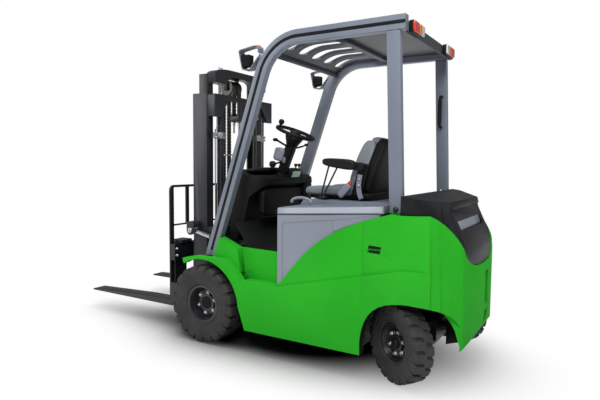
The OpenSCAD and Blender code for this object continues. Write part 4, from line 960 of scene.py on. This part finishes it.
GRIP_X, GRIP_Z = -1.1325, 1.6
half = [(-0.4408, 0.105), (-0.42, 0.105), (-0.404, 0.098), (-0.397, 0.078), (-0.3962, 0.04)]
lower = [(GRIP_X, y, GRIP_Z - away) for y, away in half]
upper = [(GRIP_X, y, GRIP_Z + away) for y, away in half[::-1]]
grip = smooth_path(lower + upper, 80)
swell = 1 + 0.4 * np.clip((0.085 - np.abs(grip[:, 2] - GRIP_Z)) / 0.008, 0, 1) * (grip[:, 1] > -0.399)
swell *= 1 - 0.05 * (np.sin(grip[:, 2] * TAU / 0.011) > 0.55) * (swell > 1.3)
bar = swept(grip, ring_section(0.0098, 18), (1, 0, 0), sizes=swell)
handle = surface("grab_handle_grip", bar, HOSE)
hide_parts("grab_handle")
print("guard trim ready")

# %% [markdown]
# ## Lamps
# Work lamps with cooling fins sit in bent steel straps at the front, and the rear lamps are moulded
# lenses on dark housings. A lens is a plain rounded block, because its ribs come from the finish.

# %% Work lamps and rear lamps
LAMP_Y, LAMP_Z = 0.467, 1.89


def work_lamp(y):
    """Lamp case: a rounded box section carried from back to front and rounded at both ends, with
    upright cooling fins behind; also its lens, and the bent strap and foot that hold it."""
    rows = np.array([(-0.15, 0.8), (-0.148, 0.88), (-0.142, 0.93), (-0.128, 0.95), (-0.112, 0.98),
                     (-0.098, 1.0), (-0.092, 1.0), (-0.088, 0.97)])
    spine = at_y(y, [(x, LAMP_Z) for x in rows[:, 0]])
    case = [swept(spine, box_section(0.054, 0.084, 0.014), sizes=rows[:, 1])]
    for fin in y + np.linspace(-0.02, 0.02, 5):
        blade = np.linspace((-0.1545, fin, LAMP_Z), (-0.128, fin, LAMP_Z), 6)
        case.append(swept(blade, box_section(0.004, 0.072, 0.0015)))
    glass = pillow((-0.0875, y, LAMP_Z), (0.01, 0.044, 0.07), 6, 20)
    loop = at_y(y, [(-0.226, 1.93), (-0.222, 1.968), (-0.19, 1.974), (-0.13, 1.966), (-0.083, 1.958),
                    (-0.075, 1.946), (-0.084, 1.905), (-0.098, 1.848), (-0.106, 1.834), (-0.152, 1.832),
                    (-0.172, 1.842), (-0.204, 1.88), (-0.226, 1.905)])
    strap = swept(smooth_path(loop, 90), box_section(0.005, 0.062, 0.0015), (0, 1, 0))
    foot = swept(np.linspace((-0.262, y, 1.886), (-0.214, y, 1.916), 8), box_section(0.016, 0.03, 0.004))
    return case, glass, [strap, foot]


cases, lenses, brackets = zip(*[work_lamp(s * LAMP_Y) for s in BOTH])
lamp_bodies = surface("work_lamp_bodies", sum(cases, []), ABS)
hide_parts("headlamps")
surface("work_lamp_lenses", list(lenses), CLEAR_LENS)
surface("work_lamp_brackets", sum(brackets, []), GREY)
signals = [pillow((-0.205, s * LAMP_Y, 1.972), (0.03, 0.034, 0.02), 5, 14) for s in BOTH]
surface("front_signal_lenses", signals, AMBER_LENS)

TAIL_LAMP_Y, TAIL_LAMP_Z = 0.332, 1.99
low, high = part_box("rear_lamps")
spine = np.linspace((low[0] + 0.012, TAIL_LAMP_Y, TAIL_LAMP_Z), (high[0], TAIL_LAMP_Y, TAIL_LAMP_Z), 5)
housings = [swept(mirrored(spine, s), box_section(0.186, 0.066, 0.01)) for s in BOTH]
lamps = surface("rear_lamp_housings", housings, ABS)
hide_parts("rear_lamps")
LENSES = {"red": (0.376, 0.09, RED_LENS), "amber": (0.308, 0.04, AMBER_LENS),
          "clear": (0.264, 0.042, CLEAR_LENS)}
for colour, (y, wide, finish) in LENSES.items():
    pair = [pillow((-1.2085, s * y, TAIL_LAMP_Z), (0.022, wide, 0.058), 7, 22) for s in BOTH]
    surface(f"rear_lamp_{colour}_lenses", pair, finish)
print("lamps ready")

# %% [markdown]
# ## Roof
# The roof is one sheet between the rails: it follows their bend at the front, where long slots let
# the driver look up at the load, and runs level to the rear. Each slot's half width grows and
# shrinks as a circle at its ends, and the strips of sheet at either side of it follow that line.

# %% Slotted roof
def roof_point(s, y, r=0.297):
    """The place s metres behind the end of the bend; ahead of it the sheet follows the arc."""
    a = math.pi / 2 + np.minimum(s, 0) / r
    return np.stack([BEND[0] + r * np.cos(a) - np.maximum(s, 0), y, BEND[1] + r * np.sin(a)], -1)


def slotted_roof(half, count, slot, first, last, front, rear):
    """Strips of sheet at both sides of each slot, from the front edge to the rear one; a slot's
    half width is its full value times the sine of an angle that opens over one half width."""
    pitch = 2 * half / count
    a = np.linspace(0, math.pi / 2, 10)
    tip, wide = slot * (1 - np.cos(a)), slot * np.sin(a)
    straight = np.linspace(first + slot, last - slot, 14)[1:-1]
    behind = np.linspace(last, rear, 8)[1:]
    rows = np.concatenate([[front, 0.5 * (front + first)], first + tip, straight, (last - tip)[::-1], behind])
    open_by = np.concatenate([[0, 0], wide, np.full_like(straight, slot), wide[::-1], np.zeros_like(behind)])
    t = np.linspace(0, 1, 4)[None]
    grids = []
    for mid in -half + (np.arange(count) + 0.5) * pitch:
        for side in (-1, 1):
            edge = mid + side * pitch / 2
            y = edge + (mid + side * open_by[:, None] - edge) * t
            grids.append(roof_point(np.repeat(rows[:, None], 4, 1), y))
    return grids


def across(x, z, half, section):
    """A section carried straight across the truck."""
    return swept(np.linspace((x, -half, z), (x, half, z), 5), section)


ROOF_HALF, ROOF_FRONT = 0.4335, -0.222
sheet = slotted_roof(ROOF_HALF, count=5, slot=0.052, first=-0.175, last=0.165, front=ROOF_FRONT, rear=0.664)
# painted shade: the sheet takes the deeper roof grey for the shadow under the roof
roof = surface("slotted_roof_sheet", sheet, ROOF_SHADE_GREY)
gauge = roof.modifiers.new("sheet thickness", "SOLIDIFY")
gauge.thickness, gauge.offset = 0.018, 0.0
eased = roof.modifiers.new("eased edges", "BEVEL")
eased.width, eased.segments = 0.004, 2
eased.limit_method, eased.angle_limit = "ANGLE", math.radians(50)
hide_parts("guard_roof")

nose = roof_point(np.array(ROOF_FRONT), np.array(0.0))
beams = [across(nose[0] - 0.004, nose[2] - 0.01, ROOF_HALF, box_section(0.03, 0.04, 0.01)),
         across(-0.722, 1.992, ROOF_HALF, box_section(0.044, 0.03, 0.006)),
         across(-1.1808, 1.984, ROOF_HALF, box_section(0.012, 0.064, 0.004))]
# painted shade: the beams take the same deeper roof grey
surface("roof_beams", beams, ROOF_SHADE_GREY)
print("roof ready")

# %% [markdown]
# ## Driver's place
# Column, boot and shroud lean back towards the driver. All of it is laid out in the column's own
# frame: one axis along the column, one forward across it and one to the left.

# %% Column
COLUMN_TOP = np.array([-0.2055, 0.0, 1.452])
COLUMN = np.array([[0.9304, 0, -0.3665], [0, 1, 0], [0.3665, 0, 0.9304]])
COLUMN_AXIS = COLUMN[:, 2]


def on_column(forward, left, along):
    """A place in the column's frame, counted from the steering wheel's middle."""
    return COLUMN_TOP + COLUMN @ np.array([forward, left, along])


rows = np.array([(-0.392, 1.1), (-0.37, 1.05), (-0.33, 0.98), (-0.27, 0.95), (-0.2, 0.97), (-0.13, 1.02),
                 (-0.1, 0.98), (-0.085, 0.8)])
stem = np.stack([on_column(0, 0, h) for h in rows[:, 0]])
bell = [(0.0, -0.118), (0.034, -0.118), (0.038, -0.1), (0.05, -0.072), (0.062, -0.046), (0.066, -0.032),
        (0.064, -0.026), (0.0, -0.0255)]
folds = [(0.06 - 0.007 * (k % 2) - 0.0016 * k, -0.388 + 0.009 * k) for k in range(9)]
shroud = [swept(stem, box_section(0.07, 0.07, 0.02), (1, 0, 0), sizes=rows[:, 1]),
          turned(bell, COLUMN_TOP, COLUMN_AXIS, 40),
          turned([(0.03, -0.392)] + folds + [(0.03, -0.31)], COLUMN_TOP, COLUMN_AXIS, 40)]
column = surface("column_shroud", shroud, ABS)
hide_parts("steering_column")
bracket = [pillow((-0.088, 0.018, 1.298), (0.085, 0.07, 0.096), 5, 24, about_y(-16)),
           pillow((-0.12, 0.01, 1.262), (0.06, 0.05, 0.06), 5, 18, about_y(-16))]
surface("column_tilt_bracket", bracket, HOOD_GREY)
levers = [
    tube([(-0.17, 0.02, 1.352), (-0.148, 0.06, 1.368), (-0.122, 0.105, 1.394), (-0.107, 0.13, 1.405)],
         0.0075, 30),
    pillow((-0.112, 0.122, 1.401), (0.026, 0.05, 0.024), 2.6, 18),
    tube([(-0.19, -0.02, 1.345), (-0.208, -0.07, 1.355), (-0.226, -0.128, 1.372)], 0.0065, 24),
    pillow((-0.225, -0.122, 1.371), (0.022, 0.044, 0.02), 2.6, 18),
    tube([(-0.118, 0.02, 1.25), (-0.095, 0.062, 1.236), (-0.079, 0.096, 1.228)], 0.007, 20)]
surface("column_levers", levers, ABS)
lock = pillow((-0.077, 0.104, 1.227), (0.048, 0.046, 0.048), 2.3, 26)
surface("tilt_lock_knob", lock, VINYL)
print("column ready")

# %% [markdown]
# ## Steering wheel
# The wheel's rim is a torus with finger grips on its underside, from a cosine in its thickness.
# Three spokes dip to the hub, and a turned knob lets the driver steer with one hand.

# %% Steering wheel
WHEEL_R, GRIP_R = 0.137, 0.0128
turn, roll = np.meshgrid(np.linspace(0, TAU, 121), np.linspace(0, TAU, 21), indexing="ij")
fat = GRIP_R * (1 - 0.05 * np.cos(28 * turn) * (np.sin(roll) < -0.2))
reach = WHEEL_R + fat * np.cos(roll)
ring = np.stack([reach * np.cos(turn), reach * np.sin(turn), fat * np.sin(roll)], -1) @ COLUMN.T + COLUMN_TOP
hub = [(0, 0.017), (0.02, 0.016), (0.034, 0.011), (0.041, 0.002), (0.041, -0.012), (0.036, -0.018),
       (0, -0.018)]
wheel = [ring, turned(hub, COLUMN_TOP, COLUMN_AXIS, 44)]
arm = np.linspace(0.03, 0.13, 12)
dip = -0.004 + 0.004 * ((arm - 0.03) / 0.1) ** 2
waist = 1.05 - 0.25 * np.sin(np.pi * np.linspace(0, 1, 12))
for spoke in (90, 210, 330):
    c, w = math.cos(math.radians(spoke)), math.sin(math.radians(spoke))
    path = np.stack([on_column(r * c, r * w, h) for r, h in zip(arm, dip)])
    wheel.append(swept(path, box_section(0.028, 0.0095, 0.004), COLUMN_AXIS, sizes=waist))
knob = [(0, 0.006), (0.0085, 0.006), (0.0075, 0.022), (0.0085, 0.032), (0.014, 0.037), (0.0195, 0.047),
        (0.0205, 0.055), (0.018, 0.064), (0.011, 0.07), (0, 0.072)]
knob_foot = on_column(WHEEL_R * math.cos(math.pi / 3), WHEEL_R * math.sin(math.pi / 3), 0)
wheel.append(turned(knob, knob_foot, COLUMN_AXIS, 30))
steering = surface("steering_wheel_moulded", wheel, ABS, "steering_wheel")
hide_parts("steering_wheel")
print("steering ready")

# %% [markdown]
# ## Dash
# A lid with soft edges covers the cowl, and carries a small display and two levers in folded boots.
# Mouldings have wide radii, so superellipsoids stand for them; levers and boots are turned.

# %% Dash
lid = pillow((0.02, 0.09, 1.176), (0.15, 0.4, 0.04), 3.2, 30, about_y(12))
# painted sheen: the lid takes the greyer cover plastic
surface("dash_lid", lid, SHEEN_COVER_ABS)
housing = [pillow((-0.122, -0.1, 1.148), (0.052, 0.15, 0.104), 5, 28, about_y(-24)),
           pillow((-0.085, -0.215, 1.16), (0.085, 0.07, 0.03), 4, 20)]
surface("display_housing", housing, ABS)
glass = pillow((-0.1445, -0.1, 1.146), (0.01, 0.118, 0.07), 8, 20, about_y(-24))
surface("display_glass", glass, SCREEN)
knee = [pillow((-0.105, -0.285, 0.995), (0.11, 0.1, 0.23), 6, 24),
        pillow((-0.1, 0.0, 0.96), (0.06, 0.56, 0.2), 6, 24)]
surface("knee_panel", knee, ABS)
boot = [(0.0, 0.0), (0.021, 0.0), (0.019, 0.006), (0.0215, 0.009), (0.0165, 0.014), (0.0185, 0.018),
        (0.012, 0.024), (0.0, 0.026)]
stalk = [(0, 0.02), (0.0048, 0.02), (0.0045, 0.056), (0.0085, 0.062), (0.0135, 0.072), (0.0135, 0.078),
         (0.009, 0.084), (0, 0.085)]
lever_parts = [turned(profile, (-0.0525, y, 1.148), (-0.05, 0, 1), steps)
               for y in (-0.3, -0.25) for profile, steps in ((boot, 28), (stalk, 24))]
hand_levers = surface("hydraulic_levers", lever_parts, ABS)
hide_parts("control_levers")
print("dash ready")

# %% [markdown]
# ## Seat
# The seat is soft: crowned pads that swell between their seams, paler side bolsters that curve
# forward round the driver, a moulded shell behind and padded arms. Each pad is a superellipsoid,
# narrowed towards the top where it belongs to the back; seams are shallow lines pressed into it.

# %% Seat pads
def tapered(grid, low=1.1, high=1.41, share=0.34):
    """Narrows a shape across the truck by a smooth step from one height to another."""
    out = grid.copy()
    out[..., 1] *= 1 - share * smooth_step((grid[..., 2] - low) / (high - low))
    return out


def seamed(grid, axis, places, push, depth=0.007, width=0.007):
    """Presses soft lines into a pad: each point moves along push by a bell of its distance from
    the line."""
    away = np.abs(grid[..., axis, None] - np.asarray(places)).min(-1)
    return grid + (depth * np.exp(-(away / width) ** 2))[..., None] * np.asarray(push, float)


LEAN = about_y(-14)
pad = tapered(pillow((-0.838, 0, 1.215), (0.078, 0.33, 0.345), 4.2, 64, LEAN))
back = surface("seat_back_pad", seamed(pad, 2, (1.13, 1.2, 1.27, 1.34), (-1, 0, 0)), VINYL, "hood")
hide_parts("seat_back")
wings = [tapered(pillow((-0.81, s * 0.178, 1.216), (0.112, 0.092, 0.345), 3.0, 40, LEAN)) for s in BOTH]
wings.append(tapered(pillow((-0.872, 0, 1.374), (0.092, 0.33, 0.066), 3.0, 36, LEAN)))
surface("seat_back_bolsters", wings, VINYL_GREY, "hood")
shell = [tapered(pillow((-0.886, 0, 1.208), (0.084, 0.456, 0.385), 5.5, 40, LEAN)),
         pillow((-0.662, 0, 1.019), (0.475, 0.4, 0.034), 8, 24),
         pillow((-0.845, 0, 1.032), (0.11, 0.47, 0.05), 5, 24)]
STRUT = [(-0.8, 1.028), (-0.818, 1.09), (-0.838, 1.16), (-0.852, 1.238)]
for s in BOTH:
    strut = smooth_path(at_y(s * 0.239, STRUT), 16)
    shell.append(swept(strut, box_section(0.07, 0.014, 0.005), (0, 1, 0)))
seat_shell = surface("seat_shell", shell, ABS, "hood")
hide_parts("seat_frame")

seat_pad = pillow((-0.622, 0, 1.053), (0.37, 0.33, 0.056), 4.2, 64)
seat_pad = seamed(seat_pad, 0, (-0.53, -0.61, -0.69), (0, 0, -1), 0.006)
cushion = surface("seat_cushion_pad", seat_pad, VINYL, "hood")
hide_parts("seat_cushion")
rolls = [pillow((-0.618, s * 0.186, 1.06), (0.41, 0.1, 0.062), 3.2, 40) for s in BOTH]
rolls.append(pillow((-0.438, 0, 1.051), (0.078, 0.44, 0.058), 3.0, 40))
surface("seat_cushion_bolsters", rolls, VINYL_GREY, "hood")
print("seat ready")

# %% [markdown]
# ## Armrests and belt
# The armrests are padded like the seat, rise and grow thinner towards the front, and stand on thin
# steel stays. The belt's buckles and brackets are beside the cushion.

# %% Arms, buckle and belt bracket
ARM_X, ARM_Z = -0.698, 1.236
STAYS = ([(-0.5685, 1.022), (-0.597, 1.123), (-0.6253, 1.222)],
         [(-0.5845, 1.022), (-0.635, 1.119), (-0.6854, 1.214)])
arms, rods = [], []
for s in BOTH:
    rest = pillow((ARM_X, s * 0.278, ARM_Z), (0.232, 0.056, 0.062), 3.4, 44)
    ahead = rest[..., 0] - ARM_X
    rest[..., 2] += 0.1 * ahead - 1.6 * ahead * (rest[..., 2] - ARM_Z)
    arms += [rest, pillow((-0.825, s * 0.262, 1.218), (0.075, 0.026, 0.052), 4, 20)]
    rods += [tube(at_y(s * 0.276, stay), 0.0055, 16) for stay in STAYS]
    foot = [(-0.5775, s * y, 1.019) for y in (0.186, 0.21, 0.25, 0.284)]
    rods.append(swept(foot, box_section(0.05, 0.014, 0.004)))
pads = surface("armrest_pads", arms, VINYL, "hood")
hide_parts("armrests")
surface("armrest_rods", rods, BLACK, "hood")

TIPPED = about_y(-42)
buckles = [pillow((-0.733, s * 0.266, 1.066), (0.044, 0.03, 0.105), 4.5, 22, TIPPED) for s in BOTH]
surface("belt_buckle", buckles, HOOD_GREY, "hood")
button = pillow((-0.768, 0.266, 1.112), (0.026, 0.022, 0.022), 4, 14, TIPPED)
surface("buckle_button", button, RED_LENS, "hood")
BELT = [(-0.846, 1.016), (-0.832, 1.05), (-0.826, 1.1), (-0.834, 1.168)]
belt, screws = [], []
for s in BOTH:
    belt.append(swept(smooth_path(at_y(s * 0.258, BELT), 20), box_section(0.032, 0.008, 0.003), (0, 1, 0)))
    for x, z in ((-0.829, 1.14), (-0.828, 1.098)):
        screws.append(turned(DOME * 0.62, (x, s * 0.262, z), (0, s, 0), 20))
surface("belt_brackets", belt, HOOD_GREY, "hood")
surface("belt_bracket_screws", screws, ZINC, "hood")
print("arms ready")

# %% [markdown]
# ## Body trim
# A pale pressed band runs along the hood's side, a moulded handle stands at its front corner, the
# vents have dark bars, and a pale plate fills the band in the rear cover.

# %% Trim
BAND_Y = 0.5355
lines = [np.linspace((-1.098, s * BAND_Y, 0.9825), (-0.412, s * BAND_Y, 0.9415), 8) for s in BOTH]
bands = [swept(line, box_section(0.007, 0.034, 0.003)) for line in lines]
surface("hood_side_bands", bands, PALE, "hood")
HANDLE = [(-0.425, 0.985), (-0.43, 1.0), (-0.45, 1.012), (-0.49, 1.018), (-0.53, 1.014),
          (-0.56, 1.002), (-0.572, 0.985)]
handles = [tube(at_y(s * 0.4, HANDLE), 0.0095, 50, (0, 1, 0)) for s in BOTH]
surface("hood_handles", handles, HOOD_GREY, "hood")
bars = [pillow((-1.0565, s * 0.5372, z), (0.074, 0.006, 0.013), 6, 16) for s in BOTH for z in (0.747, 0.769)]
surface("side_vent_bars", bars, ABS)
plate = tuck(across(-1.4765, 0.89, 0.33, box_section(0.006, 0.053, 0.002)))
surface("rear_band_plate", plate, HOOD_GREY)
print("trim ready")
